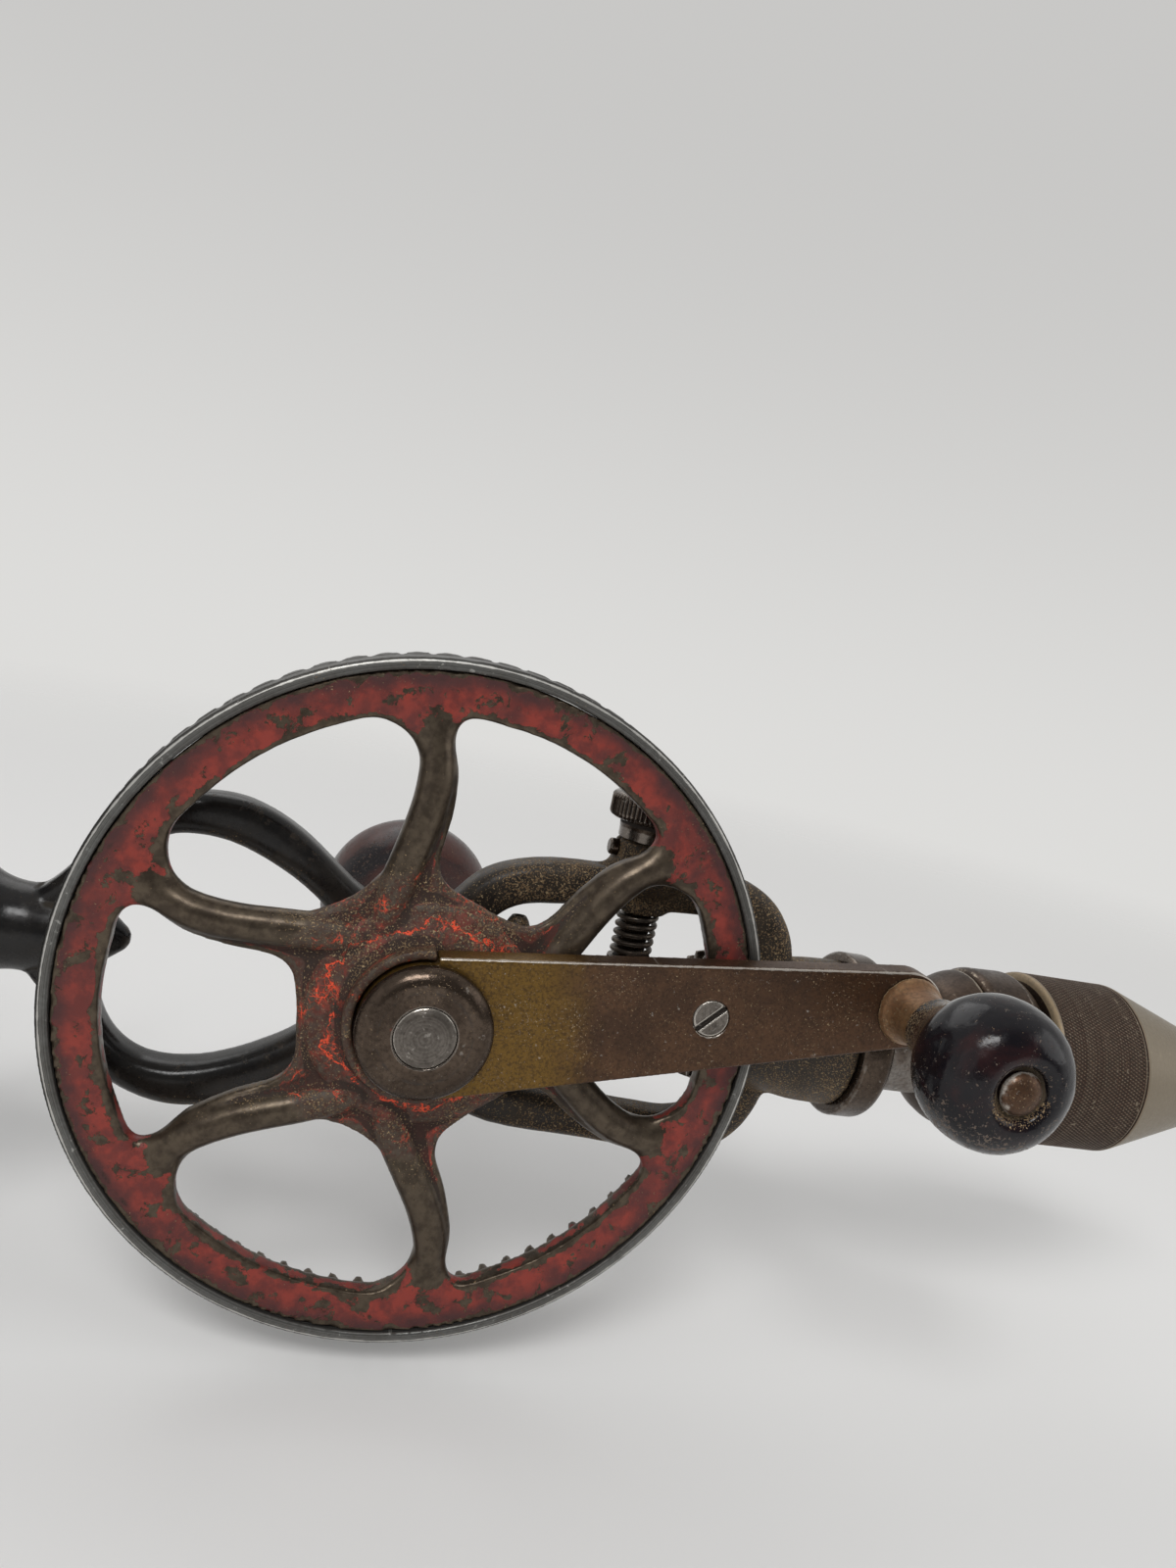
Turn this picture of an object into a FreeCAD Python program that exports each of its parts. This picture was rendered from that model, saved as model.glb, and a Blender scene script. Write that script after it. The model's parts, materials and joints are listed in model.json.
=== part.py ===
import FreeCAD
import Part
import Sketcher
import math
import os

# Breast drill, in millimetres.
# Frame of the part: +X along the spindle out of the chuck, +Z up, -Y towards the crank side.
# The origin is on the spindle's axis at the mouth of the chuck's jaws. The wheel's axle crosses
# the spindle's axis at X = -axle_to_mouth, and "along" in the profiles below is counted from there.

driving_sizes = {
    # Whole drill
    "axle_to_mouth": 171.0,
    "arm_rest_angle": 9.7,
    # Gearing: both pitch cones have their tip where axle and spindle cross
    "wheel_radius": 57.15,
    "wheel_teeth": 75,
    "pinion_teeth": 15,
    "pitch_radius": 57.5,
    "pinion_pitch_radius": 11.5,
    "gear_inner_radius": 51.3,
    "gear_addendum": 1.2,
    "gear_dedendum": 1.85,
    "pinion_addendum": 1.5,
    "pinion_dedendum": 1.75,
    "pressure_angle": 20.0,
    "gear_backlash": 0.5,
    # Wheel
    "wheel_front": 19.0,
    "web_inner_radius": 48.3,
    "web_thickness": 3.6,
    "hub_radius": 12.6,
    "hub_length": 6.0,
    "spoke_radius": 3.0,
    # Axle and what it carries
    "axle_radius": 4.9,
    "running_gap": 0.06,
    "collar_radius": 10.7,
    "collar_thickness": 3.2,
    "washer_thickness": 1.0,
    # Crank arm and knob
    "arm_length": 81.6,
    "arm_thickness": 4.5,
    "arm_root_half_width": 11.6,
    "arm_end_radius": 6.8,
    "arm_edge": 0.5,
    "arm_screw_distance": 46.4,
    "arm_screw_radius": 3.1,
    "arm_screw_shank": 2.1,
    "knob_radius": 11.6,
    "knob_pin_radius": 2.6,
    "knob_pin_head": 3.4,
    # Frame casting
    "frame_thickness": 8.4,
    "frame_edge_radius": 2.7,
    "neck_radius": 7.3,
    "axle_boss_radius": 12.2,
    "axle_boss_back": 12.0,
    "rear_bearing_radius": 9.0,
    "latch_boss_radius": 6.9,
    # Spindle
    "spindle_radius": 5.0,
    "spindle_tail_radius": 4.5,
    "spindle_journal_radius": 6.0,
    "spindle_collar_radius": 9.7,
    "rear_bush_radius": 6.5,
    "front_bush_radius": 8.5,
    "race_radius": 10.3,
    "ball_radius": 1.6,
    "ball_circle": 8.2,
    "ball_count": 14,
    "cap_radius": 15.5,
    "pinion_hub_radius": 9.2,
    "pinion_pin_radius": 1.5,
    # Latch that drops into the groove of the pinion's hub
    "latch_place": 37.5,
    "latch_stem_radius": 2.5,
    "latch_head_radius": 9.0,
    "spring_wire": 1.0,
    "spring_radius": 3.35,
    "spring_turns": 5,
    "spring_low": 9.05,
    "spring_high": 17.85,
    # Breast plate
    "plate_face": -97.0,
    "plate_length": 126.0,
    "plate_width": 64.0,
    "plate_thickness": 4.6,
    "plate_curve": 150.0,
    "plate_corner": 22.0,
    "plate_bolt_radius": 4.0,
    # Side handle
    "handle_radius": 18.2,
    "handle_bolt_radius": 4.0,
    # Chuck
    "shell_radius": 16.7,
    "shell_bore": 15.05,
    "nose_slope": 0.331,
    "nose_wall": 1.5,
    "grip_radius": 3.175,
    "jaw_width": 6.0,
    "jaw_gap": 0.2,
    "jaw_flank_gap": 1.82,
    "jaw_count": 3,
}


class Size:
    """A number together with the expression on the sheet that gives it."""

    def __init__(self, value, text):
        self.value = float(value)
        self.text = text

    def __add__(self, other):
        other = as_size(other)
        return Size(self.value + other.value, f"({self.text} + {other.text})")

    def __sub__(self, other):
        other = as_size(other)
        return Size(self.value - other.value, f"({self.text} - {other.text})")

    def __mul__(self, other):
        other = as_size(other)
        return Size(self.value * other.value, f"({self.text} * {other.text})")

    def __truediv__(self, other):
        other = as_size(other)
        return Size(self.value / other.value, f"({self.text} / {other.text})")

    def __radd__(self, other):
        return as_size(other) + self

    def __rsub__(self, other):
        return as_size(other) - self

    def __rmul__(self, other):
        return as_size(other) * self

    def __neg__(self):
        return as_size(-1) * self


def as_size(number):
    if isinstance(number, Size):
        return number
    return Size(number, f"({float(number)!r})")


document = FreeCAD.newDocument("breast_drill")
sheet = document.addObject("Spreadsheet::Sheet", "Sizes")
for row, (alias, number) in enumerate(driving_sizes.items(), start=1):
    sheet.set(f"A{row}", alias)
    sheet.set(f"B{row}", str(number))
    sheet.setAlias(f"B{row}", alias)
document.recompute()


def size(alias):
    return Size(sheet.get(alias), f"Sizes.{alias}")


def bind(item, path, wanted):
    """Tie one property of an object to the sheet."""
    item.setExpression(path, as_size(wanted).text)


def vector(x, y, z):
    return FreeCAD.Vector(x, y, z)


axle_x = -size("axle_to_mouth")
along_x = vector(1, 0, 0)
along_y = vector(0, 1, 0)
along_z = vector(0, 0, 1)
no_turn = FreeCAD.Rotation()
arm_turn = FreeCAD.Rotation(-along_y, size("arm_rest_angle").value)
finished = []


def keep(item, label):
    """Mark an object as one piece of the drill."""
    item.Label = label
    finished.append(item)
    return item


def put(item, x=0.0, y=0.0, z=0.0, turn=no_turn):
    """Place an object by its distances from the crossing of axle and spindle."""
    places = (axle_x + x, as_size(y), as_size(z))
    item.Placement = FreeCAD.Placement(vector(*[place.value for place in places]), turn)
    for letter, place in zip("xyz", places):
        bind(item, f"Placement.Base.{letter}", place)
    return item


def new_body(label, turn=no_turn):
    body = document.addObject("PartDesign::Body", label)
    body.Label = label
    return put(body, turn=turn)


def plane_of(body, role):
    for feature in body.Origin.OriginFeatures:
        if feature.Role == role:
            return feature
    raise ValueError(role)


def new_sketch(body, name, role, offset=(0.0, 0.0, 0.0)):
    sketch = body.newObject("Sketcher::SketchObject", name)
    sketch.AttachmentSupport = [(plane_of(body, role), "")]
    sketch.MapMode = "FlatFace"
    offset = [as_size(part) for part in offset]
    sketch.AttachmentOffset = FreeCAD.Placement(vector(*[part.value for part in offset]), no_turn)
    for letter, part in zip("xyz", offset):
        bind(sketch, f"AttachmentOffset.Base.{letter}", part)
    return sketch


def hold_point(sketch, line, end, across, up):
    """Fix one end of a line or curve to two sizes, counted from the sketch's origin."""
    for kind, other_axis, wanted in (("DistanceX", -2, across), ("DistanceY", -1, up)):
        if wanted.value == 0.0:
            sketch.addConstraint(Sketcher.Constraint("PointOnObject", line, end, other_axis))
            continue
        number = sketch.addConstraint(Sketcher.Constraint(kind, -1, 1, line, end, wanted.value))
        bind(sketch, f"Constraints[{number}]", wanted)


def arc_centre(start, end, radius):
    """Centre of the shorter arc from start to end; a positive radius turns left."""
    middle = (start + end) * 0.5
    chord = end - start
    left = vector(-chord.y, chord.x, 0).normalize()
    height = math.sqrt(max(radius * radius - chord.Length * chord.Length / 4, 0.0))
    return middle + left * math.copysign(height, radius)


def draw_outline(sketch, stops):
    """Closed outline. A stop is (across, up), or (across, up, radius) where an arc leads to it."""
    stops = [tuple(as_size(part) for part in stop) for stop in stops]
    points = [vector(stop[0].value, stop[1].value, 0) for stop in stops]
    first_ends = []
    for index, stop in enumerate(stops):
        start, end = points[index - 1], points[index]
        if len(stop) == 2:
            line = sketch.addGeometry(Part.LineSegment(start, end), False)
            first_ends.append((line, 1, 2))
            continue
        radius = stop[2].value
        centre = arc_centre(start, end, radius)
        first, last = (start, end) if radius > 0 else (end, start)
        angles = [math.atan2(point.y - centre.y, point.x - centre.x) for point in (first, last)]
        if angles[1] < angles[0]:
            angles[1] += 2 * math.pi
        circle = Part.Circle(centre, along_z, abs(radius))
        line = sketch.addGeometry(Part.ArcOfCircle(circle, angles[0], angles[1]), False)
        first_ends.append((line, 1, 2) if radius > 0 else (line, 2, 1))
        wanted = stop[2] if radius > 0 else -stop[2]
        number = sketch.addConstraint(Sketcher.Constraint("Radius", line, wanted.value))
        bind(sketch, f"Constraints[{number}]", wanted)
    for index, (line, begin, end) in enumerate(first_ends):
        before, _, before_end = first_ends[index - 1]
        sketch.addConstraint(Sketcher.Constraint("Coincident", before, before_end, line, begin))
        hold_point(sketch, line, end, stops[index][0], stops[index][1])


def arc_pair(start, start_way, end, end_way):
    """Two arcs that join two points and leave and reach them in the given directions."""
    span = end - start
    ways = start_way + end_way
    spread = 2 * (1 - start_way.dot(end_way))
    reach = (-span.dot(ways) + math.sqrt(span.dot(ways) ** 2 + spread * span.dot(span))) / spread
    corner_a = start + start_way * reach
    corner_b = end - end_way * reach
    middle = (corner_a + corner_b) * 0.5
    arcs = []
    for first, corner, last in ((start, corner_a, middle), (middle, corner_b, end)):
        weight = (last - first).Length / 2 / (corner - first).Length
        top = (first + corner * (2 * weight) + last) * (1 / (2 + 2 * weight))
        arcs.append(Part.Arc(first, top, last))
    return arcs


def smooth_arcs(points, closed):
    """Arcs that run smoothly into each other through the points."""
    curve = Part.BSplineCurve()
    curve.interpolate(Points=points, PeriodicFlag=closed)
    ways = [curve.tangent(curve.parameter(point))[0] for point in points]
    if closed:
        points, ways = points + points[:1], ways + ways[:1]
    arcs = []
    for index in range(len(points) - 1):
        arcs += arc_pair(points[index], ways[index], points[index + 1], ways[index + 1])
    return arcs


def draw_smooth_ring(sketch, stops):
    """Closed smooth outline through the stops."""
    for arc in smooth_arcs([vector(across, up, 0) for across, up in stops], True):
        sketch.addGeometry(arc, False)


def mirrored(stops):
    """Outline through the stops, and back through their mirror images below."""
    below = [(across, -up) for across, up in reversed(stops) if up > 0.0]
    return stops + below


def turn_profile(body, name, axis, profile, cut=False, offset=(0.0, 0.0, 0.0)):
    """Turned solid or bore. A stop of the profile is (along, radius) or (along, radius, arc)."""
    role, reference = {
        "X": ("XZ_Plane", "H_Axis"),
        "Y": ("XY_Plane", "V_Axis"),
        "Z": ("XZ_Plane", "V_Axis"),
    }[axis]
    sketch = new_sketch(body, name + "_profile", role, offset)
    if axis == "X":
        draw_outline(sketch, profile)
    else:
        swapped = []
        for stop in profile:
            arc = tuple(-as_size(part) for part in stop[2:])
            swapped.append((stop[1], stop[0]) + arc)
        draw_outline(sketch, swapped)
    kind = "PartDesign::Groove" if cut else "PartDesign::Revolution"
    feature = body.newObject(kind, name)
    feature.Profile = sketch
    feature.ReferenceAxis = (sketch, [reference])
    feature.Angle = 360.0
    sketch.Visibility = False
    body.Tip = feature
    return feature


def turned_piece(label, axis, profile, turn=no_turn, offset=(0.0, 0.0, 0.0)):
    body = new_body(label, turn)
    turn_profile(body, label + "_turned", axis, profile, offset=offset)
    return body


def tube(near, far, inner, outer):
    """Profile of a plain ring or bush."""
    return [(near, inner), (far, inner), (far, outer), (near, outer)]


def rod(near, far, radius):
    """Profile of a plain pin."""
    return [(near, 0.0), (far, 0.0), (far, radius), (near, radius)]


def dome(rise, radius):
    """Radius of the arc that closes a turned end with a dome square to the axis."""
    return (radius * radius + rise * rise) / (2 * rise)


def pad_sketch(body, sketch, name, length, middle=True, cut=False):
    feature = body.newObject("PartDesign::Pocket" if cut else "PartDesign::Pad", name)
    feature.Profile = sketch
    feature.Length = as_size(length).value
    bind(feature, "Length", length)
    if middle:
        feature.SideType = "Symmetric"
    sketch.Visibility = False
    body.Tip = feature
    return feature


def round_edges(body, name, radius, wanted):
    """Round the edges of the body's last feature that the test picks."""
    document.recompute()
    base = body.Tip
    names = [f"Edge{number}" for number, edge in enumerate(base.Shape.Edges, start=1) if wanted(edge)]
    fillet = body.newObject("PartDesign::Fillet", name)
    fillet.Base = (base, names)
    fillet.Radius = as_size(radius).value
    bind(fillet, "Radius", radius)
    body.Tip = fillet
    return fillet


def repeat_round(body, feature, name, sketch_axis, count):
    """Repeat a feature round an axis."""
    pattern = body.newObject("PartDesign::PolarPattern", name)
    pattern.Originals = [feature]
    pattern.Axis = sketch_axis
    pattern.Angle = 360.0
    pattern.Occurrences = int(count)
    body.Tip = pattern
    return pattern


def pin_between(name, radius, length, x, y, z, direction):
    """Plain cylinder that starts at a point and runs along a direction."""
    pin = document.addObject("Part::Cylinder", name)
    bind(pin, "Radius", radius)
    bind(pin, "Height", length)
    return put(pin, x, y, z, FreeCAD.Rotation(along_z, direction))


def hidden_shape(name, shape, turn=no_turn, x=0.0):
    """Shape that only Part's own functions can make; it becomes part of a piece."""
    feature = document.addObject("Part::Feature", name)
    feature.Shape = shape
    return put(feature, x, turn=turn)


def joined(name, *items):
    fuse = document.addObject("Part::MultiFuse", name)
    fuse.Shapes = list(items)
    return fuse


def cut_from(name, base, *tools):
    cut = document.addObject("Part::Cut", name)
    cut.Base = base
    cut.Tool = tools[0] if len(tools) == 1 else joined(name + "_tools", *tools)
    return cut


# Frame casting: a rear loop and a front loop either side of the axle's boss

frame_edge = [
    (-62.5, 7.2), (-58.8, 11.2), (-54.6, 17.2), (-49.6, 22.6), (-43.0, 26.2), (-36.0, 27.2),
    (-28.6, 25.6), (-22.0, 22.0), (-16.5, 17.9), (-11.5, 14.3), (-6.5, 12.4), (-1.0, 12.7),
    (3.0, 15.4), (6.8, 19.8), (12.5, 23.2), (20.0, 24.9), (32.0, 25.6), (46.0, 26.7),
    (56.5, 26.6), (63.3, 22.9), (67.6, 16.2), (69.3, 8.0),
]
rear_window = [
    (-52.7, 0.0), (-52.2, 7.2), (-49.9, 13.8), (-45.3, 18.3), (-39.0, 19.8), (-31.5, 18.5),
    (-24.6, 15.4), (-18.6, 11.4), (-14.7, 6.4), (-13.5, 0.0),
]
front_window = [
    (10.4, 0.0), (10.2, 6.5), (10.6, 11.6), (13.4, 15.0), (20.0, 17.0), (30.0, 18.0), (44.0, 18.8),
    (53.2, 18.6), (58.4, 15.6), (60.3, 9.0), (60.6, 0.0),
]

frame = new_body("frame_casting")
loops = new_sketch(frame, "frame_loops", "XZ_Plane")
draw_smooth_ring(loops, mirrored(frame_edge))
draw_smooth_ring(loops, mirrored(rear_window))
draw_smooth_ring(loops, mirrored(front_window))
pad_sketch(frame, loops, "frame_plate", size("frame_thickness"))


def on_frame_side(edge):
    half = size("frame_thickness").value / 2
    return all(abs(abs(vertex.Y) - half) < 0.01 for vertex in edge.Vertexes)


round_edges(frame, "frame_rounding", size("frame_edge_radius"), on_frame_side)

plate_face = size("plate_face")
neck = size("neck_radius")
turn_profile(frame, "neck", "X", [
    (plate_face, 0.0), (-47.7, 0.0), (-48.4, 1.9, 2.0), (-53.0, 5.6), (-57.5, 6.4),
    (-63.0, neck, -40.0), (-68.0, neck + 0.6, -12.0), (-73.4, 13.2, -9.0), (-77.6, 13.2, 2.6),
    (-78.2, 11.6), (plate_face + 5.0, 14.2, -10.5), (plate_face + 3.4, 16.0), (plate_face, 16.0),
])
boss = size("axle_boss_radius")
boss_back = size("axle_boss_back")
boss_front = -(size("wheel_front") - size("hub_length") + 0.4)
turn_profile(frame, "axle_boss", "Y", [
    (boss_front, 0.0), (boss_back, 0.0), (boss_back, boss - 1.0), (boss_back - 1.0, boss),
    (boss_front + 1.0, boss), (boss_front, boss - 1.0),
])
rear_bearing = size("rear_bearing_radius")
turn_profile(frame, "rear_bearing", "X", [
    (5.0, 0.0), (20.4, 0.0), (20.4, rear_bearing - 1.0), (19.4, rear_bearing),
    (5.0, rear_bearing + 0.6),
])
turn_profile(frame, "nose", "X", [
    (60.2, 0.0), (80.0, 0.0), (80.0, 13.9), (72.0, 13.4), (65.0, 12.4), (61.2, 11.4), (60.2, 10.4),
])
latch_x = size("latch_place")
latch_boss = size("latch_boss_radius")
turn_profile(frame, "latch_boss", "Z", [
    (19.5, 0.0), (31.0, 0.0), (31.0, latch_boss - 0.6), (30.4, latch_boss), (27.6, latch_boss + 0.2),
    (24.6, latch_boss + 2.4, -3.5), (21.0, latch_boss - 2.0),
], offset=(latch_x, 0.0, 0.0))
turn_profile(frame, "latch_seat", "Z", rod(17.9, 21.0, 4.8), offset=(latch_x, 0.0, 0.0))
turn_profile(frame, "oil_lug", "Z", [
    (4.0, 0.0), (14.2, 0.0), (14.2, 1.4), (8.6, 4.0), (4.0, 4.4),
], offset=(16.0, 0.0, 0.0))
turn_profile(frame, "oil_hole", "Z", [(5.6, 0.0), (15.0, 0.0), (15.0, 0.8), (5.6, 0.8)],
             cut=True, offset=(16.0, 0.0, 0.0))
axle = size("axle_radius")
handle_bolt = size("handle_bolt_radius")
turn_profile(frame, "axle_bore", "Y", [
    (boss_front - 1.0, 0.0), (boss_back + 1.0, 0.0), (boss_back + 1.0, handle_bolt),
    (1.5, handle_bolt), (1.5, axle), (boss_front - 1.0, axle),
], cut=True)
tail_bush = size("rear_bush_radius")
turn_profile(frame, "tail_bore", "X", rod(8.0, 22.0, tail_bush), cut=True)
nose_bush = size("front_bush_radius")
race = size("race_radius")
turn_profile(frame, "nose_bore", "X", [
    (59.0, 0.0), (81.0, 0.0), (81.0, race), (76.0, race), (76.0, nose_bush), (59.0, nose_bush),
], cut=True)
plate_bolt = size("plate_bolt_radius")
turn_profile(frame, "plate_bolt_bore", "X", [
    (plate_face - 1.0, 0.0), (plate_face + 20.0, 0.0), (plate_face + 18.2, plate_bolt),
    (plate_face - 1.0, plate_bolt),
], cut=True)
turn_profile(frame, "dowel_bore", "X", rod(plate_face - 1.0, plate_face + 2.6, 1.5),
             cut=True, offset=(0.0, 11.5, 0.0))
latch_stem = size("latch_stem_radius")
latch_gap = 0.1
turn_profile(frame, "latch_bore", "Z", rod(15.0, 33.0, latch_stem + latch_gap), cut=True,
             offset=(latch_x, 0.0, 0.0))
guide_screw_height = 28.9
turn_profile(frame, "guide_screw_bore", "X", rod(29.0, latch_x - latch_stem, 1.5), cut=True,
             offset=(0.0, guide_screw_height, 0.0))
keep(frame, "frame_casting")

# Breast plate: a saddle-shaped casting that bends away from the drill at its ends

plate = new_body("breast_plate")
plate_curve = size("plate_curve")
plate_thickness = size("plate_thickness")
half_plate = size("plate_length") / 2
plate_front = plate_face - 1.2
plate_drop = plate_curve.value - math.sqrt(plate_curve.value ** 2 - half_plate.value ** 2)
plate_back_curve = plate_curve - plate_thickness
plate_back_drop = plate_back_curve.value - math.sqrt(plate_back_curve.value ** 2 - half_plate.value ** 2)
plate_back = plate_front - plate_thickness
profile = new_sketch(plate, "plate_profile", "XZ_Plane")
draw_outline(profile, [
    (plate_front - plate_drop, -half_plate),
    (plate_front, 0.0, plate_curve),
    (plate_front - plate_drop, half_plate, plate_curve),
    (plate_back - plate_back_drop, half_plate),
    (plate_back, 0.0, -plate_back_curve),
    (plate_back - plate_back_drop, -half_plate, -plate_back_curve),
])
pad_sketch(plate, profile, "plate_sheet", size("plate_width"))


corner = size("plate_corner")
half_width = size("plate_width") / 2
outline = new_sketch(plate, "plate_outline", "YZ_Plane", (0.0, 0.0, plate_front))
draw_outline(outline, [(-80.0, -90.0), (80.0, -90.0), (80.0, 90.0), (-80.0, 90.0)])
draw_outline(outline, [
    (half_width, -half_plate + corner, corner), (half_width, half_plate - corner),
    (half_width - corner, half_plate, corner), (-half_width + corner, half_plate),
    (-half_width, half_plate - corner, corner), (-half_width, -half_plate + corner),
    (-half_width + corner, -half_plate, corner), (half_width - corner, -half_plate),
])
pad_sketch(plate, outline, "plate_corners", 90.0, cut=True)
turn_profile(plate, "plate_seat", "X", [
    (plate_back + 0.5, 0.0), (plate_face, 0.0), (plate_face, 16.6), (plate_front - 1.4, 18.0),
    (plate_back + 0.5, 18.0),
])
turn_profile(plate, "plate_bolt_hole", "X", [
    (plate_back - 1.0, 0.0), (plate_face + 1.0, 0.0), (plate_face + 1.0, plate_bolt),
    (plate_back + 3.2, plate_bolt), (plate_back + 0.2, 7.2), (plate_back - 1.0, 7.2),
], cut=True)
turn_profile(plate, "plate_dowel_hole", "X", rod(plate_back + 1.2, plate_face + 1.0, 1.5),
             cut=True, offset=(0.0, 11.5, 0.0))
keep(plate, "breast_plate")

bolt = turned_piece("plate_bolt_blank", "X", [
    (plate_back + 0.2, 0.0), (plate_face + 17.8, 0.0), (plate_face + 17.0, plate_bolt),
    (plate_back + 3.2, plate_bolt),
    (plate_back + 0.2, 7.2),
])
slot = document.addObject("Part::Box", "plate_bolt_slot")
bind(slot, "Length", 1.4)
bind(slot, "Width", 16.0)
bind(slot, "Height", 1.5)
put(slot, plate_back + 0.1, -8.0, -0.75)
keep(cut_from("breast_plate_bolt_cut", bolt, slot), "breast_plate_bolt")
keep(turned_piece("breast_plate_dowel", "X", rod(plate_back + 1.3, plate_face + 2.5, 1.5),
                  offset=(0.0, 11.5, 0.0)), "breast_plate_dowel")

# Axle, its collar and the washer behind the wheel

wheel_front = -size("wheel_front")
arm_back = wheel_front - 1.5
arm_front = arm_back - size("arm_thickness")
collar_back = arm_front - 0.1
collar_front = collar_back - size("collar_thickness")
collar = size("collar_radius")
keep(turned_piece("axle", "Y", [
    (collar_front - 0.3, 0.0), (1.5, 0.0), (1.5, axle), (collar_front + 0.2, axle),
    (collar_front - 0.3, axle - 1.2),
]), "axle")
keep(turned_piece("axle_collar", "Y", [
    (collar_back, axle), (collar_back, collar), (collar_back - 1.6, collar),
    (collar_front + 0.1, collar - 3.4, 3.2), (collar_front, axle),
]), "axle_collar")
hub_back = wheel_front + size("hub_length") - 1.5
keep(turned_piece("hub_washer", "Y", tube(hub_back + 0.05, boss_front, axle + 0.06, 10.5)),
     "hub_washer")

# Side handle: a steel ferrule, a turned wooden ball and the bolt through both

ferrule_end = 24.8
side_ferrule = turned_piece("side_handle_ferrule", "Y", [
    (boss_back, handle_bolt), (boss_back, 9.2), (boss_back + 1.4, 8.8), (18.2, 7.1, 9.0),
    (ferrule_end, 7.6, 22.0), (ferrule_end, handle_bolt),
])
keep(side_ferrule, "side_handle_ferrule")
handle = size("handle_radius")
handle_front = ferrule_end + 26.4
side_handle = turned_piece("side_handle", "Y", [
    (ferrule_end, handle_bolt), (ferrule_end, 8.0), (ferrule_end + 5.4, 9.6, 16.0),
    (ferrule_end + 14.0, 15.4, 60.0), (handle_front, handle, -handle * 1.05),
    (60.2, 12.8, -13.5), (62.4, 8.6, -7.0), (61.6, 5.6), (60.2, 5.2), (60.2, handle_bolt),
])
keep(side_handle, "side_handle")
bolt_blank = turned_piece("handle_bolt_blank", "Y", [
    (1.6, 0.0), (62.9, 0.0), (62.3, 3.4, dome(0.6, 3.4)), (60.2, 5.1, 3.4), (60.2, handle_bolt),
    (1.6, handle_bolt),
])
slot = document.addObject("Part::Box", "handle_bolt_slot")
bind(slot, "Length", 1.2)
bind(slot, "Width", 2.4)
bind(slot, "Height", 14.0)
put(slot, -0.6, 61.6, -7.0)
keep(cut_from("side_handle_bolt_cut", bolt_blank, slot), "side_handle_bolt")

# Drive wheel: rim, web with six lyre-shaped spokes, hub with a seat for the arm, and bevel teeth

pitch = size("pitch_radius")
apex_slope = size("pinion_pitch_radius") / pitch
inner = size("gear_inner_radius")
outer_root = -(size("pinion_pitch_radius") + size("gear_dedendum"))
inner_root = outer_root * inner / pitch
rim = size("wheel_radius")
web_edge = size("web_inner_radius")
web_back = wheel_front + size("web_thickness")

wheel = new_body("drive_wheel_casting", arm_turn)
web = new_sketch(wheel, "web_disc", "XZ_Plane", (0.0, 0.0, -(wheel_front + 1.2)))
web_circle = web.addGeometry(Part.Circle(vector(0, 0, 0), along_z, web_edge.value + 2.4), False)
web.addConstraint(Sketcher.Constraint("Coincident", web_circle, 3, -1, 1))
number = web.addConstraint(Sketcher.Constraint("Radius", web_circle, web_edge.value + 2.4))
bind(web, f"Constraints[{number}]", web_edge + 2.4)
web_pad = pad_sketch(wheel, web, "web_plate", size("web_thickness") - 1.2, middle=False)
web_pad.Reversed = True
turn_profile(wheel, "web_rise", "Y", [
    (wheel_front + 1.4, 40.5), (wheel_front + 0.5, 44.5), (wheel_front + 0.0, 48.0),
    (wheel_front + 0.0, web_edge + 2.6), (wheel_front + 2.0, web_edge + 2.6), (wheel_front + 2.0, 40.5),
])

# Openings: one inside each pair of spokes and one between neighbouring pairs
inner_opening = [
    (22.3, 0.0), (22.8, 4.2), (24.6, 9.6), (27.0, 13.6), (29.9, 16.8), (33.8, 19.0), (38.3, 20.2),
    (42.3, 19.5), (45.0, 17.2), (46.5, 13.1), (47.6, 8.0), (48.2, 3.0),
]
outer_opening = [
    (19.6, 0.0), (19.7, 4.6), (20.6, 8.2), (23.0, 10.2), (27.0, 11.3), (32.4, 13.0), (37.7, 15.6),
    (41.3, 18.1), (43.3, 18.6), (44.9, 17.4), (46.0, 14.6), (47.4, 9.0), (48.3, 0.0),
]
pair_angles = (0.0, 120.0, 240.0)


def turned_stops(stops, degrees):
    angle = math.radians(degrees)
    return [(across * math.cos(angle) - up * math.sin(angle),
             across * math.sin(angle) + up * math.cos(angle)) for across, up in stops]


openings = new_sketch(wheel, "web_openings", "XZ_Plane", (0.0, 0.0, -wheel_front))
for pair_angle in pair_angles:
    draw_smooth_ring(openings, turned_stops(mirrored(inner_opening), pair_angle))
    draw_smooth_ring(openings, turned_stops(mirrored(outer_opening), pair_angle + 60.0))
pad_sketch(wheel, openings, "web_pocket", 30.0, middle=True, cut=True)


hub = size("hub_radius")
turn_profile(wheel, "hub", "Y", [
    (wheel_front - 1.5, axle + size("running_gap")), (wheel_front - 1.5, hub),
    (wheel_front - 0.6, 15.2, -14.0), (wheel_front + 0.2, 18.4, 20.0), (wheel_front + 3.0, 18.4),
    (hub_back, 14.0), (hub_back, axle + size("running_gap")),
])
turn_profile(wheel, "rim", "Y", [
    (wheel_front + 0.2, web_edge + 1.6), (wheel_front - 0.1, web_edge + 2.3), (wheel_front + 0.05, 54.9),
    (wheel_front - 0.5, 55.4),
    (wheel_front - 0.5, rim - 0.6), (wheel_front - 0.1, rim), (outer_root - 0.6, rim + 0.15),
    (outer_root, pitch - 0.3), (inner_root, inner), (wheel_front + 4.6, inner),
    (web_back, web_edge + 1.6),
])
axle_hole = turn_profile(wheel, "axle_hole", "Y",
                         rod(wheel_front - 4.0, hub_back + 1.0, axle + size("running_gap")), cut=True)

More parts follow.
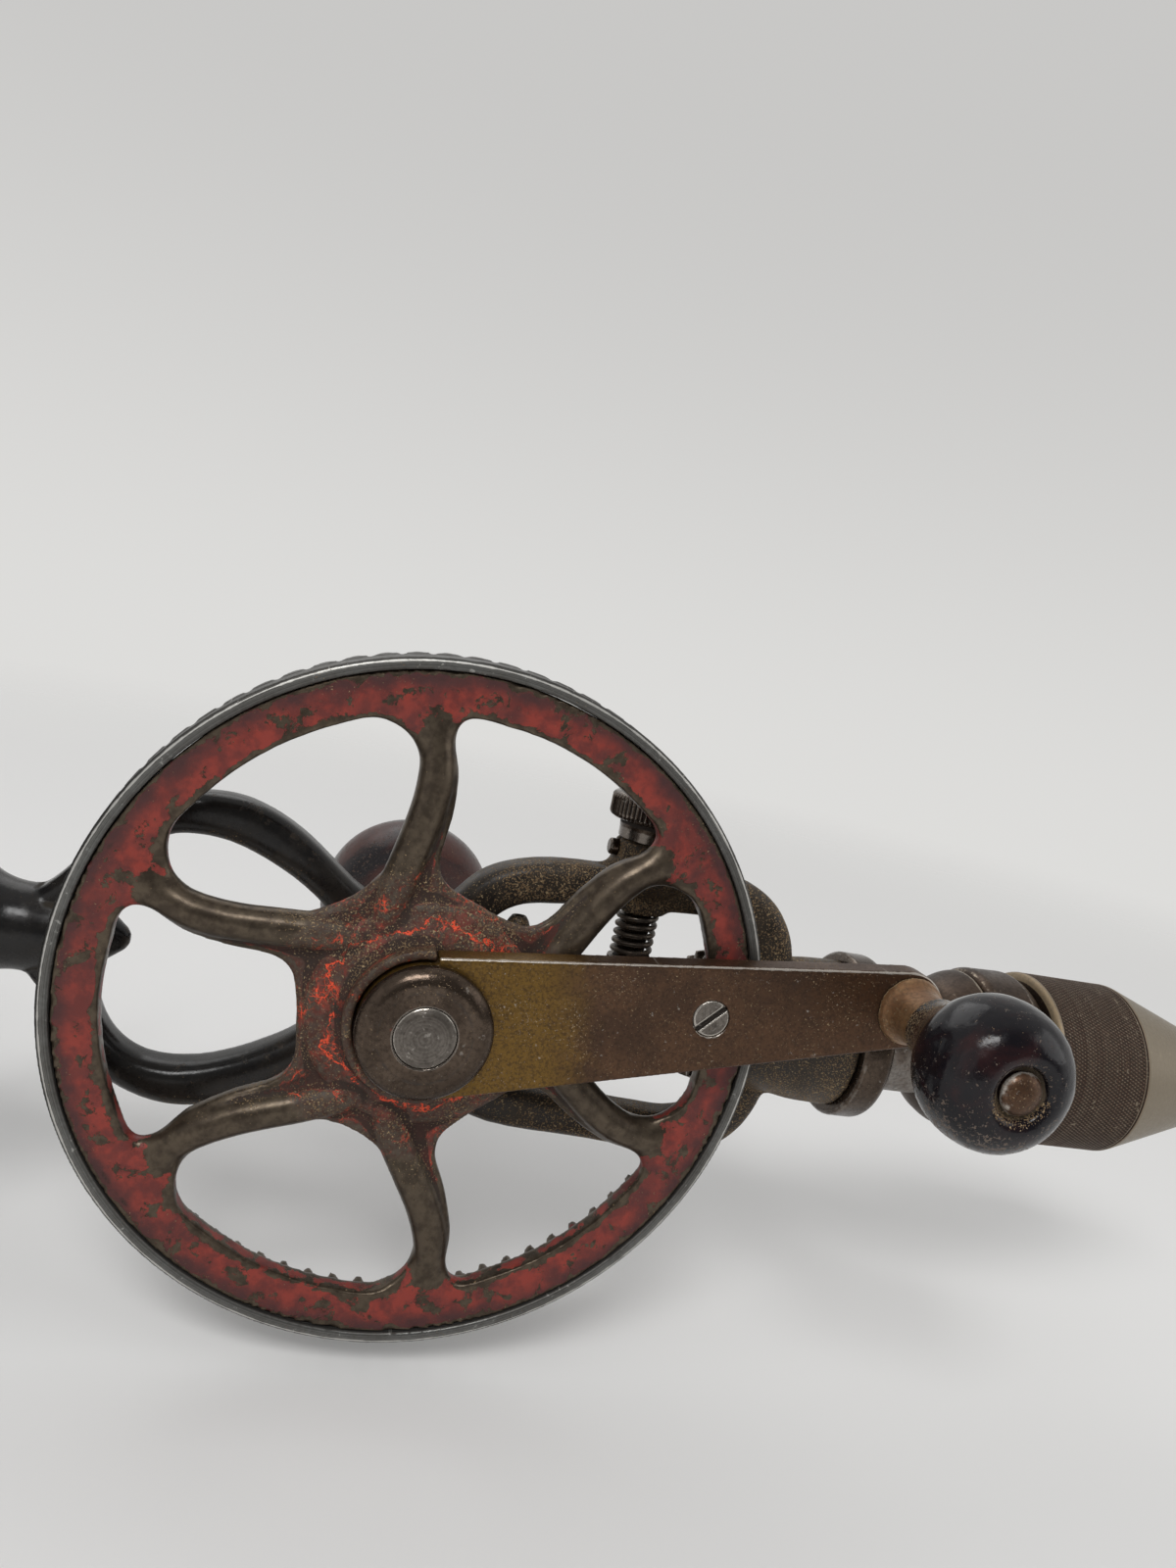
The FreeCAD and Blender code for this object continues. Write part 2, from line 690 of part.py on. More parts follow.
# Collar wall round the arm's root, open where the arm leaves it
seat_wall = turned_piece("seat_wall", "Y", tube(wheel_front - 1.3, arm_front + 0.8, 10.9, hub), arm_turn)
seat_trim = document.addObject("Part::Box", "seat_trim")
bind(seat_trim, "Length", 20.0)
bind(seat_trim, "Width", 10.0)
bind(seat_trim, "Height", 40.0)
trim_start = 2.0
put(seat_trim, turn=arm_turn)
trim_corner = arm_turn.multVec(vector(trim_start, arm_front.value - 1.0, -20.0))
put(seat_trim, trim_corner.x, trim_corner.y, trim_corner.z, arm_turn)
seat = cut_from("arm_seat", seat_wall, seat_trim)

# Lug on the inside of the rim that takes the arm's screw
screw_distance = size("arm_screw_distance")
screw_lug = turned_piece("screw_lug", "Y", rod(arm_back, web_back, 5.8), arm_turn,
                         offset=(screw_distance, 0.0, 0.0))
lug_hole = turned_piece("lug_hole", "Y", rod(arm_back - 1.0, web_back + 1.0, size("arm_screw_shank")),
                        arm_turn, offset=(screw_distance, 0.0, 0.0))

# Half-round ribs along the spokes, sinking into the rim at their outer ends
rib_line = [(16.0, 2.6, 2.4), (20.4, 7.2, 1.7), (24.3, 12.1, 1.5), (28.5, 17.2, 1.5),
            (33.0, 21.3, 1.6), (37.8, 23.9, 1.9), (43.2, 26.4, 2.5), (47.5, 29.0, 3.3)]


def rib_shape(side):
    points = [vector(across, wheel_front.value + depth, side * up) for across, up, depth in rib_line]
    arcs = smooth_arcs(points, False)
    direction = arcs[0].tangent(arcs[0].FirstParameter)[0]
    section = Part.Wire([Part.Circle(points[0], direction, size("spoke_radius").value).toShape()])
    return Part.Wire([arc.toShape() for arc in arcs]).makePipeShell([section], True, False)


rib_pair = [rib_shape(1), rib_shape(-1)]
ribs = []
for pair_angle in pair_angles:
    for rib in rib_pair:
        turned_rib = rib.copy()
        turned_rib.rotate(vector(0, 0, 0), along_y, -pair_angle)
        ribs.append(turned_rib)
spoke_ribs = hidden_shape("spoke_ribs", ribs[0].fuse(ribs[1:]), arm_turn)

# Bevel teeth: each is a straight-sided tooth that shrinks towards the apex of the pitch cones
module = 2 * pitch.value / size("wheel_teeth").value
tooth_pitch = math.pi * module
flank = math.tan(math.radians(size("pressure_angle").value))


def gear_tooth():
    half_pitch_width = (tooth_pitch / 2 - size("gear_backlash").value / 2) / 2
    tip = size("gear_addendum").value
    root = size("gear_dedendum").value + 0.4
    middle = -size("pinion_pitch_radius").value
    corners = [(middle + tip, half_pitch_width - tip * flank),
               (middle - root, half_pitch_width + root * flank)]
    sections = []
    for scale in (1.0, inner.value / pitch.value):
        points = [vector(pitch.value, y, side * z) * scale
                  for side, pair in ((1, corners), (-1, corners[::-1])) for y, z in pair]
        sections.append(Part.makePolygon(points + points[:1]))
    return Part.makeLoft(sections, True, True)


teeth = []
tooth_step = 360.0 / size("wheel_teeth").value
for tooth_number in range(int(size("wheel_teeth").value)):
    tooth = gear_tooth()
    tooth.rotate(vector(0, 0, 0), along_y, size("arm_rest_angle").value + tooth_number * tooth_step)
    teeth.append(tooth)
gear_teeth = hidden_shape("gear_teeth", Part.makeCompound(teeth), arm_turn)
wheel_casting = joined("wheel_casting", wheel, seat, screw_lug, spoke_ribs)
wheel_body = document.addObject("Part::Fuse", "wheel_parts")
wheel_body.Base = wheel_casting
wheel_body.Tool = gear_teeth
wheel_bore = turned_piece("wheel_bore", "Y",
                          rod(wheel_front - 9.0, hub_back + 1.0, axle + size("running_gap")), arm_turn)
keep(cut_from("drive_wheel_cut", wheel_body, lug_hole, wheel_bore), "drive_wheel")

# Crank arm

arm = new_body("crank_arm", arm_turn)
arm_length = size("arm_length")
arm_root = size("arm_root_half_width")
arm_end = size("arm_end_radius")
arm_start = 2.2
root_radius = 10.5
root_height = math.sqrt(root_radius ** 2 - arm_start ** 2)
arm_plan = new_sketch(arm, "arm_plan", "XZ_Plane", (0.0, 0.0, -arm_back))
draw_outline(arm_plan, [
    (arm_start, -arm_root), (arm_length - 0.6, -arm_end), (arm_length + arm_end - 0.6, 0.0, arm_end),
    (arm_length - 0.6, arm_end, arm_end), (arm_start, arm_root), (arm_start, root_height),
    (-root_radius, 0.0, root_radius), (arm_start, -root_height, root_radius),
])
pad_sketch(arm, arm_plan, "arm_bar", size("arm_thickness"), middle=False)


def on_arm_front(edge):
    return edge.Length > 5 and all(abs(vertex.Y - arm_front.value) < 0.01 and vertex.X > arm_start - 0.1
                                   for vertex in edge.Vertexes)


round_edges(arm, "arm_edges", size("arm_edge"), on_arm_front)
turn_profile(arm, "arm_axle_hole", "Y", rod(arm_front - 1.0, arm_back + 1.0, axle + 0.3), cut=True)
screw_head = size("arm_screw_radius")
screw_shank = size("arm_screw_shank")
turn_profile(arm, "arm_screw_hole", "Y", [
    (arm_front - 1.0, 0.0), (arm_back + 1.0, 0.0), (arm_back + 1.0, screw_shank),
    (arm_front + 2.2, screw_shank), (arm_front + 2.2, screw_head), (arm_front - 1.0, screw_head),
], cut=True, offset=(screw_distance, 0.0, 0.0))
knob_pin = size("knob_pin_radius")
turn_profile(arm, "arm_pin_hole", "Y", rod(arm_front - 1.0, arm_back + 1.0, knob_pin), cut=True,
             offset=(arm_length, 0.0, 0.0))
keep(arm, "crank_arm")

screw = turned_piece("arm_screw_blank", "Y", [
    (arm_front + 0.05, 0.0), (web_back - 0.4, 0.0), (web_back - 0.4, screw_shank),
    (arm_front + 2.2, screw_shank), (arm_front + 2.2, screw_head), (arm_front + 0.3, screw_head),
    (arm_front + 0.05, screw_head - 0.25),
], arm_turn, offset=(screw_distance, 0.0, 0.0))
slot = document.addObject("Part::Box", "arm_screw_slot")
slot_width = 0.9
bind(slot, "Length", 10.0)
bind(slot, "Width", 1.4)
bind(slot, "Height", slot_width)
slot_turn = FreeCAD.Rotation(-along_y, size("arm_rest_angle").value + 35.0)
slot_corner = slot_turn.multVec(vector(-5.0, 0.0, -slot_width / 2))
screw_centre = arm_turn.multVec(vector(screw_distance.value, arm_front.value - 0.4, 0.0))
slot_corner = slot_corner + screw_centre
put(slot, slot_corner.x, slot_corner.y, slot_corner.z, slot_turn)
keep(cut_from("crank_arm_screw_cut", screw, slot), "crank_arm_screw")

# Crank knob on its riveted pin

knob_place = (arm_length, 0.0, 0.0)
pin_gap = size("running_gap")
knob_end = arm_front - 31.8
keep(turned_piece("knob_pin", "Y", [
    (arm_back, 0.0), (knob_end - 1.9, 0.0), (knob_end - 1.2, 2.6, -dome(0.7, 2.6)),
    (knob_end - 0.1, size("knob_pin_head"), -1.8), (knob_end - 0.1, knob_pin), (arm_back, knob_pin),
], arm_turn, offset=knob_place), "knob_pin")
keep(turned_piece("knob_ferrule", "Y", [
    (arm_front - 0.2, knob_pin + pin_gap), (arm_front - 0.2, 6.0), (arm_front - 1.2, 5.7),
    (arm_front - 4.4, 4.75, -5.0), (arm_front - 8.4, 5.0, -16.0), (arm_front - 8.4, knob_pin + pin_gap),
], arm_turn, offset=knob_place), "knob_ferrule")
knob = size("knob_radius")
keep(turned_piece("crank_knob", "Y", [
    (arm_front - 8.4, knob_pin + pin_gap), (knob_end + 0.6, knob_pin + pin_gap), (knob_end + 0.6, 3.7),
    (knob_end - 0.7, 4.2), (knob_end - 1.2, 6.2, -2.4), (arm_front - 29.2, 10.8, -7.1),
    (arm_front - 25.5, knob, -12.0), (arm_front - 21.8, 11.3, -14.0), (arm_front - 18.0, 9.3, -14.0),
    (arm_front - 14.5, 7.1, 60.0), (arm_front - 11.0, 5.8, 18.0), (arm_front - 8.4, 5.4, 9.0),
], arm_turn, offset=knob_place), "crank_knob")

# Spindle with its bushes, thrust bearing and cap

tail = size("spindle_tail_radius")
shaft = size("spindle_radius")
journal = size("spindle_journal_radius")
shoulder = size("spindle_collar_radius")
gap = size("running_gap")
spindle_turned = turned_piece("spindle_turned", "X", [
    (9.4, 0.0), (110.4, 0.0), (110.4, 6.4), (109.8, 7.0), (99.2, 7.0), (99.2, 8.4),
    (98.0, shoulder, 1.6), (82.9, shoulder), (82.9, journal), (60.0, journal), (60.0, shaft),
    (21.2, shaft), (21.2, tail), (10.0, tail), (9.4, tail - 0.6),
])
hub_pin = size("pinion_pin_radius")
hub_pin_x = 47.4
hub_r = size("pinion_hub_radius")
spindle_pin_hole = pin_between("spindle_pin_hole", hub_pin, 2 * hub_r, hub_pin_x, -hub_r, 0.0, along_y)
keep(cut_from("spindle_cut", spindle_turned, spindle_pin_hole), "spindle")
keep(turned_piece("rear_bush", "X", tube(9.0, 20.4, tail + gap, tail_bush)), "rear_bush")
keep(turned_piece("front_bush", "X", tube(60.6, 76.0, journal + gap, nose_bush)), "front_bush")
ball = size("ball_radius")
race_back = 76.0
ball_gap = 0.03
keep(turned_piece("thrust_race_rear", "X", tube(race_back, 78.0, journal + 0.3, race)), "thrust_race_rear")
ball_x = 78.0 + ball_gap + ball.value
front_race_back = ball_x + ball.value + ball_gap
keep(turned_piece("thrust_race_front", "X", tube(front_race_back, 82.9, journal, race - 0.2)),
     "thrust_race_front")
balls = []
for ball_number in range(int(size("ball_count").value)):
    angle = 2 * math.pi * ball_number / size("ball_count").value
    centre = vector(ball_x, size("ball_circle").value * math.cos(angle),
                    size("ball_circle").value * math.sin(angle))
    balls.append(Part.makeSphere(ball.value, centre))
keep(hidden_shape("thrust_balls", Part.makeCompound(balls)), "thrust_balls")
cap = size("cap_radius")
keep(turned_piece("bearing_cap", "X", [
    (80.0, race), (80.0, cap - 0.6), (80.6, cap), (84.6, cap), (86.4, cap - 1.8, -1.8),
    (86.4, shoulder + 0.4), (83.4, shoulder + 0.4), (83.4, race),
]), "bearing_cap")

# Pinion: fifteen teeth that shrink towards the apex, and a hub with a groove for the latch

pinion_teeth = int(size("pinion_teeth").value)


def involute_angle(radius):
    """Half of the tooth's angle at a radius."""
    base = size("pinion_pitch_radius").value * math.cos(math.radians(size("pressure_angle").value))
    width = (tooth_pitch - size("gear_backlash").value) / 2
    pitch_half = width / 2 / size("pinion_pitch_radius").value

    def involute(r):
        turn = math.acos(min(base / r, 1.0))
        return math.tan(turn) - turn

    return pitch_half + involute(size("pinion_pitch_radius").value) - involute(max(radius, base))


def pinion_section(scale):
    pitch_r = size("pinion_pitch_radius").value
    tip_r = pitch_r + size("pinion_addendum").value
    root_r = pitch_r - size("pinion_dedendum").value
    flank_radii = [root_r, pitch_r - 0.7, pitch_r, pitch_r + 0.8, tip_r]
    points = []
    for tooth_number in range(pinion_teeth):
        middle = math.pi + (tooth_number + 0.5) * 2 * math.pi / pinion_teeth
        for side, radii in ((-1, flank_radii), (1, flank_radii[::-1])):
            for radius in radii:
                angle = middle + side * involute_angle(radius)
                across, up = radius * math.cos(angle), radius * math.sin(angle)
                points.append(vector(pitch.value, across, up) * scale)
    return Part.makePolygon(points + points[:1])


pinion_toothed = hidden_shape("pinion_toothed", Part.makeLoft(
    [pinion_section(1.0), pinion_section(inner.value / pitch.value)], True, True))
hub_turned = turned_piece("pinion_hub", "X", [
    (32.2, 0.0), (51.6, 0.0), (51.6, hub_r - 0.4), (51.0, hub_r), (43.0, hub_r), (42.4, hub_r - 0.6),
    (42.4, 6.1), (34.6, 6.1), (34.6, 7.0), (34.0, 7.6), (32.8, 7.6), (32.2, 7.0),
])
pinion_bore = turned_piece("pinion_bore", "X", rod(31.0, 59.0, shaft))
pinion_pin_hole = pin_between("pinion_pin_hole", hub_pin, 2 * hub_r + 2.0, hub_pin_x, -hub_r - 1.0, 0.0,
                              along_y)
keep(cut_from("pinion_cut", joined("pinion_solid", pinion_toothed, hub_turned), pinion_bore, pinion_pin_hole),
     "pinion")
keep(pin_between("pinion_pin", hub_pin, 2 * hub_r - 0.4, hub_pin_x, -hub_r + 0.2, 0.0, along_y), "pinion_pin")

# Spring latch on the upper bar

latch_place = (latch_x, 0.0, 0.0)
latch_top = 30.0
collar_z = 8.0
spring_low = size("spring_low")
latch_blank = turned_piece("latch_pin_blank", "Z", [
    (6.9, 0.0), (latch_top, 0.0), (latch_top, latch_stem), (spring_low - 0.05, latch_stem),
    (spring_low - 0.05, 4.1), (collar_z, 4.1), (collar_z, 2.2), (7.2, 2.2), (6.9, 1.9),
], offset=latch_place)
latch_groove = document.addObject("Part::Box", "latch_flat")
bind(latch_groove, "Length", 1.0)
bind(latch_groove, "Width", 8.0)
bind(latch_groove, "Height", 8.0)
put(latch_groove, latch_x - latch_stem - 0.1, -4.0, guide_screw_height - 6.0)
keep(cut_from("latch_pin_cut", latch_blank, latch_groove), "latch_pin")
head = size("latch_head_radius")
keep(turned_piece("latch_knob", "Z", [
    (latch_top, 0.0), (40.0, 0.0), (39.4, 6.6, dome(0.6, 6.6)), (38.8, head - 0.4, 1.2), (38.2, head),
    (35.0, head), (34.4, head - 0.8), (34.2, 6.8), (31.1, 6.6), (31.1, latch_stem), (latch_top, latch_stem),
], offset=latch_place), "latch_knob")
keep(turned_piece("latch_guide_screw", "X", [
    (29.4, 0.0), (latch_x - latch_stem + 0.55, 0.0), (latch_x - latch_stem + 0.55, 0.9),
    (latch_x - latch_stem, 0.9), (latch_x - latch_stem, 1.5), (30.7, 1.5), (29.7, 1.5), (29.4, 1.2),
], offset=(0.0, guide_screw_height, 0.0)), "latch_guide_screw")


def spring_shape():
    radius = size("spring_radius").value
    wire = size("spring_wire").value
    turns = int(size("spring_turns").value)
    low = spring_low.value + wire / 2
    rise = (size("spring_high").value - wire / 2 - low) / turns
    quarter = math.pi / 2

    def place(step):
        angle = step * quarter
        return vector(radius * math.cos(angle), radius * math.sin(angle), low + rise * step / 4)

    def way(step):
        angle = step * quarter
        return vector(-radius * math.sin(angle), radius * math.cos(angle), rise / (2 * math.pi)).normalize()

    arcs = []
    for step in range(4 * turns):
        arcs += arc_pair(place(step), way(step), place(step + 1), way(step + 1))
    section = Part.Wire([Part.Circle(place(0), way(0), wire / 2).toShape()])
    print("spring: least gap between turns", round(rise - wire, 2), "mm")
    path = Part.Wire([arc.toShape() for arc in arcs])
    return path.makePipeShell([section], True, False)


keep(hidden_shape("latch_spring", spring_shape(), x=latch_x), "latch_spring")

# Chuck: back with its ring, shell with the conical nose, jaw carrier and three jaws

shell = size("shell_radius")
shell_bore = size("shell_bore")
slope = size("nose_slope")
nose_start = 139.4
nose_front = 167.6
lip_front = 122.0
chuck_back = turned_piece("chuck_back", "X", [
    (99.2, 7.0), (110.4, 7.0), (110.4, 5.5 + 0.06), (131.0, 5.5 + 0.06), (131.0, 8.6), (126.0, 8.6),
    (126.0, 14.9), (122.1, 14.9), (122.1, 12.1), (107.0, 12.1), (107.0, 14.6), (106.2, 15.3),
    (102.2, 13.6, 9.0), (99.2, 9.6, 6.0),
])
keep(chuck_back, "chuck_back")
keep(turned_piece("chuck_ring", "X", [
    (107.0, 12.1), (118.6, 12.1), (118.6, 14.6), (117.2, 15.6), (115.6, 16.3), (108.4, 16.1),
    (107.4, 15.6), (107.0, 14.9),
]), "chuck_ring")
keep(turned_piece("shell_ring", "X", tube(119.8, lip_front, 12.3, shell_bore)), "shell_ring")
inner_nose_start = nose_start + 0.6
nose_length = nose_front - nose_start
nose_end_radius = shell - slope * nose_length
inner_end_radius = nose_end_radius - size("nose_wall")
inner_meet = inner_end_radius + slope * (nose_front - inner_nose_start)
keep(turned_piece("chuck_shell", "X", [
    (119.8, shell_bore), (inner_nose_start, shell_bore), (inner_nose_start, inner_meet),
    (nose_front, inner_end_radius), (nose_front, nose_end_radius - 0.5),
    (nose_front - 0.5, nose_end_radius), (nose_start, shell), (120.6, shell), (119.8, shell - 0.8),
]), "chuck_shell")

carrier_front = 149.0
carrier_back = 141.2
carrier = turned_piece("carrier_turned", "X", [
    (120.8, 0.0), (carrier_front, 0.0), (carrier_front, 9.4), (carrier_back, 9.4), (carrier_back, 5.5),
    (121.4, 5.5), (120.8, 4.9),
])
tail_width = 4.0
slot_depth = 5.2
slots = []
for jaw_number in range(int(size("jaw_count").value)):
    jaw_slot = document.addObject("Part::Box", f"carrier_slot_{jaw_number + 1}")
    bind(jaw_slot, "Length", slot_depth + 1.0)
    bind(jaw_slot, "Width", tail_width + 0.2)
    bind(jaw_slot, "Height", 12.0)
    jaw_turn = FreeCAD.Rotation(along_x, 120.0 * jaw_number)
    corner = jaw_turn.multVec(vector(carrier_front - slot_depth, -tail_width / 2 - 0.1, 0.0))
    put(jaw_slot, corner.x, corner.y, corner.z, jaw_turn)
    slots.append(jaw_slot)
keep(cut_from("jaw_carrier_cut", carrier, *slots), "jaw_carrier")

mouth = size("axle_to_mouth")
jaw_back = carrier_front + 0.1
jaw_front_radius = inner_end_radius - size("jaw_gap") - slope * (mouth - nose_front)
jaw_back_radius = inner_end_radius - size("jaw_gap") + slope * (nose_front - jaw_back)
grip = size("grip_radius")
grip_back = 157.0


def jaw_flanks():
    """Outline across one jaw: a wedge between flat flanks, as wide as the jaw further out."""
    half = size("jaw_width").value / 2
    flank_gap = size("jaw_flank_gap").value
    sine, cosine = math.sin(math.radians(60)), math.cos(math.radians(60))
    tip = flank_gap / sine
    shoulder_out = tip + half * cosine / sine
    return [(0.0, tip), (half, shoulder_out), (half, 20.0), (-half, 20.0), (-half, shoulder_out)]


for jaw_number in range(int(size("jaw_count").value)):
    name = f"chuck_jaw_{jaw_number + 1}"
    jaw_turn = FreeCAD.Rotation(along_x, 120.0 * jaw_number)
    jaw_body = new_body(name + "_body", jaw_turn)
    turn_profile(jaw_body, name + "_turned", "X", [
        (jaw_back, 4.2), (grip_back, 4.2), (grip_back, grip), (mouth, grip), (mouth, jaw_front_radius),
        (jaw_back, jaw_back_radius),
    ])
    prism = new_body(name + "_prism", jaw_turn)
    wedge_plan = new_sketch(prism, name + "_plan", "YZ_Plane", (0.0, 0.0, jaw_back - 1.0))
    draw_outline(wedge_plan, jaw_flanks())
    pad_sketch(prism, wedge_plan, name + "_prism", 30.0, middle=False)
    blank = document.addObject("Part::Common", name + "_blank")
    blank.Base = jaw_body
    blank.Tool = prism
    foot = document.addObject("Part::Box", name + "_foot")
    bind(foot, "Length", slot_depth - 0.1 + 0.5)
    bind(foot, "Width", tail_width)
    bind(foot, "Height", 4.6)
    corner = jaw_turn.multVec(vector(carrier_front - slot_depth + 0.1, -tail_width / 2, 4.3))
    put(foot, corner.x, corner.y, corner.z, jaw_turn)
    keep(joined(name + "_joined", blank, foot), name)

document.recompute()


def check_and_write():
    """Stop on any failed object, then write one file for each piece."""
    failed = [item.Label for item in document.Objects
              if "Invalid" in item.State or "Error" in item.State]
    if failed:
        raise RuntimeError("failed objects: " + ", ".join(failed))
    os.makedirs("parts", exist_ok=True)
    for item in finished:
        shape = item.Shape
        if shape.isNull() or not shape.isValid():
            raise RuntimeError("bad shape: " + item.Label)
        shape.exportStep(f"parts/{item.Label}.step")
        print(item.Label, len(shape.Solids), "solids", round(shape.Volume), "mm3")


check_and_write()
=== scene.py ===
import json
import math

import bpy
import numpy as np
from mathutils import Matrix, Vector

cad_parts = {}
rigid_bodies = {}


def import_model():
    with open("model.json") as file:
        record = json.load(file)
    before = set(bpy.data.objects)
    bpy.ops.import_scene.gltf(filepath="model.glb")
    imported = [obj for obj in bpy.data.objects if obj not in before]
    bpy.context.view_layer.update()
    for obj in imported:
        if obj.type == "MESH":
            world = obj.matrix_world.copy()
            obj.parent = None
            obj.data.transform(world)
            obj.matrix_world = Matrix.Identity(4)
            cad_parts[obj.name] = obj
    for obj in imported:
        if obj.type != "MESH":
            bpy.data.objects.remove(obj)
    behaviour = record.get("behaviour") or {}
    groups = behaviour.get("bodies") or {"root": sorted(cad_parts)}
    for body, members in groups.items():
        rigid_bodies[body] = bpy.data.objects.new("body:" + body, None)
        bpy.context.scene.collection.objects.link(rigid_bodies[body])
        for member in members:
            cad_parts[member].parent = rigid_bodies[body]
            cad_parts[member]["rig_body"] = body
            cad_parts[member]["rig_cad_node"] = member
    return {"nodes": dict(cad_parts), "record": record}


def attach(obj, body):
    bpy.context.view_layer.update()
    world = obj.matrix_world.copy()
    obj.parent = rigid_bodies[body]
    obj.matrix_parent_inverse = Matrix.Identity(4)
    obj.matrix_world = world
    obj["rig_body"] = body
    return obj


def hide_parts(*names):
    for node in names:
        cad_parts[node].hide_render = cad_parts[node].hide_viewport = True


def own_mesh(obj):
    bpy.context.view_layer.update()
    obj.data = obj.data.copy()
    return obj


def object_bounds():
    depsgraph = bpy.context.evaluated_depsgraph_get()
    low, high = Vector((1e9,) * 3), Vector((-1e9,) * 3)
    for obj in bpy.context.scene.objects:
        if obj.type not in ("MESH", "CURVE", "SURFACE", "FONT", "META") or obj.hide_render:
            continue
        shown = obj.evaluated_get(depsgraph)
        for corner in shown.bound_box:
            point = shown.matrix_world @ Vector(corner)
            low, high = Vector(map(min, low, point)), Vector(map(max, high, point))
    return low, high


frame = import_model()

mm = 0.001
cadBox = [list(corner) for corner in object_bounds()]
cadNodes = frame["nodes"]
nodeSlots = {row["node"]: row["material_slot"] for row in frame["record"]["subparts"]}
axle = Vector((-171 * mm, 0, 0))        # where axle and spindle cross
armTurn = math.radians(9.7)             # the crank arm stands this far over the spindle
armLength = 81.6 * mm                   # from the axle to the middle of the knob
knobCentre = axle + armLength * Vector((math.cos(armTurn), 0, math.sin(armTurn)))
latchCentre = Vector((-133.5 * mm, 0, 0))
scene = bpy.context.scene


# Selecting, copying and finishing pieces

def clearSelection():
    if bpy.context.object and bpy.context.object.mode != "OBJECT":
        bpy.ops.object.mode_set(mode="OBJECT")
    bpy.ops.object.select_all(action="DESELECT")


def pick(piece):
    clearSelection()
    piece.select_set(True)
    bpy.context.view_layer.objects.active = piece


def applyModifier(piece, kind, **values):
    pick(piece)
    modifier = piece.modifiers.new(kind.title(), kind)
    for name, value in values.items():
        setattr(modifier, name, value)
    bpy.ops.object.modifier_apply(modifier=modifier.name)


def mergePoints(piece):
    pick(piece)
    bpy.ops.object.mode_set(mode="EDIT")
    bpy.ops.mesh.select_all(action="SELECT")
    bpy.ops.mesh.remove_doubles(threshold=0.002 * mm)
    bpy.ops.mesh.normals_make_consistent(inside=False)
    bpy.ops.object.mode_set(mode="OBJECT")


def solidCopy(node, name):
    piece = cadNodes[node].copy()
    piece.data = cadNodes[node].data.copy()
    piece.parent = None
    piece.name = piece.data.name = name
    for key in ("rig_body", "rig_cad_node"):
        if key in piece:
            del piece[key]
    scene.collection.objects.link(piece)
    piece.data.materials.clear()
    mergePoints(piece)
    return piece


def readPoints(piece):
    flat = np.empty(len(piece.data.vertices) * 3)
    piece.data.vertices.foreach_get("co", flat)
    return flat.reshape(-1, 3)


def readNormals(piece):
    flat = np.empty(len(piece.data.vertices) * 3)
    piece.data.vertex_normals.foreach_get("vector", flat)
    return flat.reshape(-1, 3)


def writePoints(piece, points):
    piece.data.vertices.foreach_set("co", np.asarray(points, float).ravel())
    piece.data.update()


def readValues(piece, name):
    values = np.empty(len(piece.data.vertices), np.float32)
    piece.data.attributes[name].data.foreach_get("value", values)
    return values


def writeValues(piece, name, values):
    # one value for each point, or one for the whole piece
    attribute = piece.data.attributes.get(name) or piece.data.attributes.new(name, "FLOAT", "POINT")
    values = np.broadcast_to(np.asarray(values, np.float32), len(piece.data.vertices))
    attribute.data.foreach_set("value", np.ascontiguousarray(values))


def ramp(values, start, full):
    # 0 up to start, 1 from full on, and even in between
    return np.clip((values - start) / (full - start), 0, 1)


def averaged(piece, values, rounds):
    # each point takes the mean of its neighbours, again and again
    pairs = np.empty(len(piece.data.edges) * 2, int)
    piece.data.edges.foreach_get("vertices", pairs)
    first, second = pairs[0::2], pairs[1::2]
    count = len(values)
    neighbours = np.maximum(np.bincount(first, minlength=count) + np.bincount(second, minlength=count), 1)
    values = values.reshape(count, -1).copy()
    for _ in range(rounds):
        for column in range(values.shape[1]):
            total = (np.bincount(first, values[second, column], count)
                     + np.bincount(second, values[first, column], count))
            values[:, column] = 0.5 * values[:, column] + 0.5 * total / neighbours
    return values


def markEdges(piece, rounds, reach):
    # 0.5 where the surface is flat, more on edges that stick out, less in corners
    points = readPoints(piece)
    smooth = averaged(piece, points, rounds)
    height = np.einsum("ij,ij->i", points - smooth, readNormals(piece))
    writeValues(piece, "edge", np.clip(0.5 + 0.5 * height / reach, 0, 1))


def remeshed(piece, voxel, relax):
    applyModifier(piece, "REMESH", mode="VOXEL", voxel_size=voxel)
    applyModifier(piece, "SMOOTH", factor=0.5, iterations=relax)
    return piece


def uneven(piece, depth, grain):
    # cast and hand-worn surfaces wander a little; always inwards, so nothing grows
    clouds = bpy.data.textures.new(piece.name + "Clouds", "CLOUDS")
    clouds.noise_scale = grain
    clouds.noise_depth = 2
    applyModifier(piece, "DISPLACE", texture=clouds, strength=depth, mid_level=1.0, texture_coords="LOCAL")


def smoothShading(piece, angle):
    pick(piece)
    bpy.ops.object.shade_smooth_by_angle(angle=math.radians(angle))


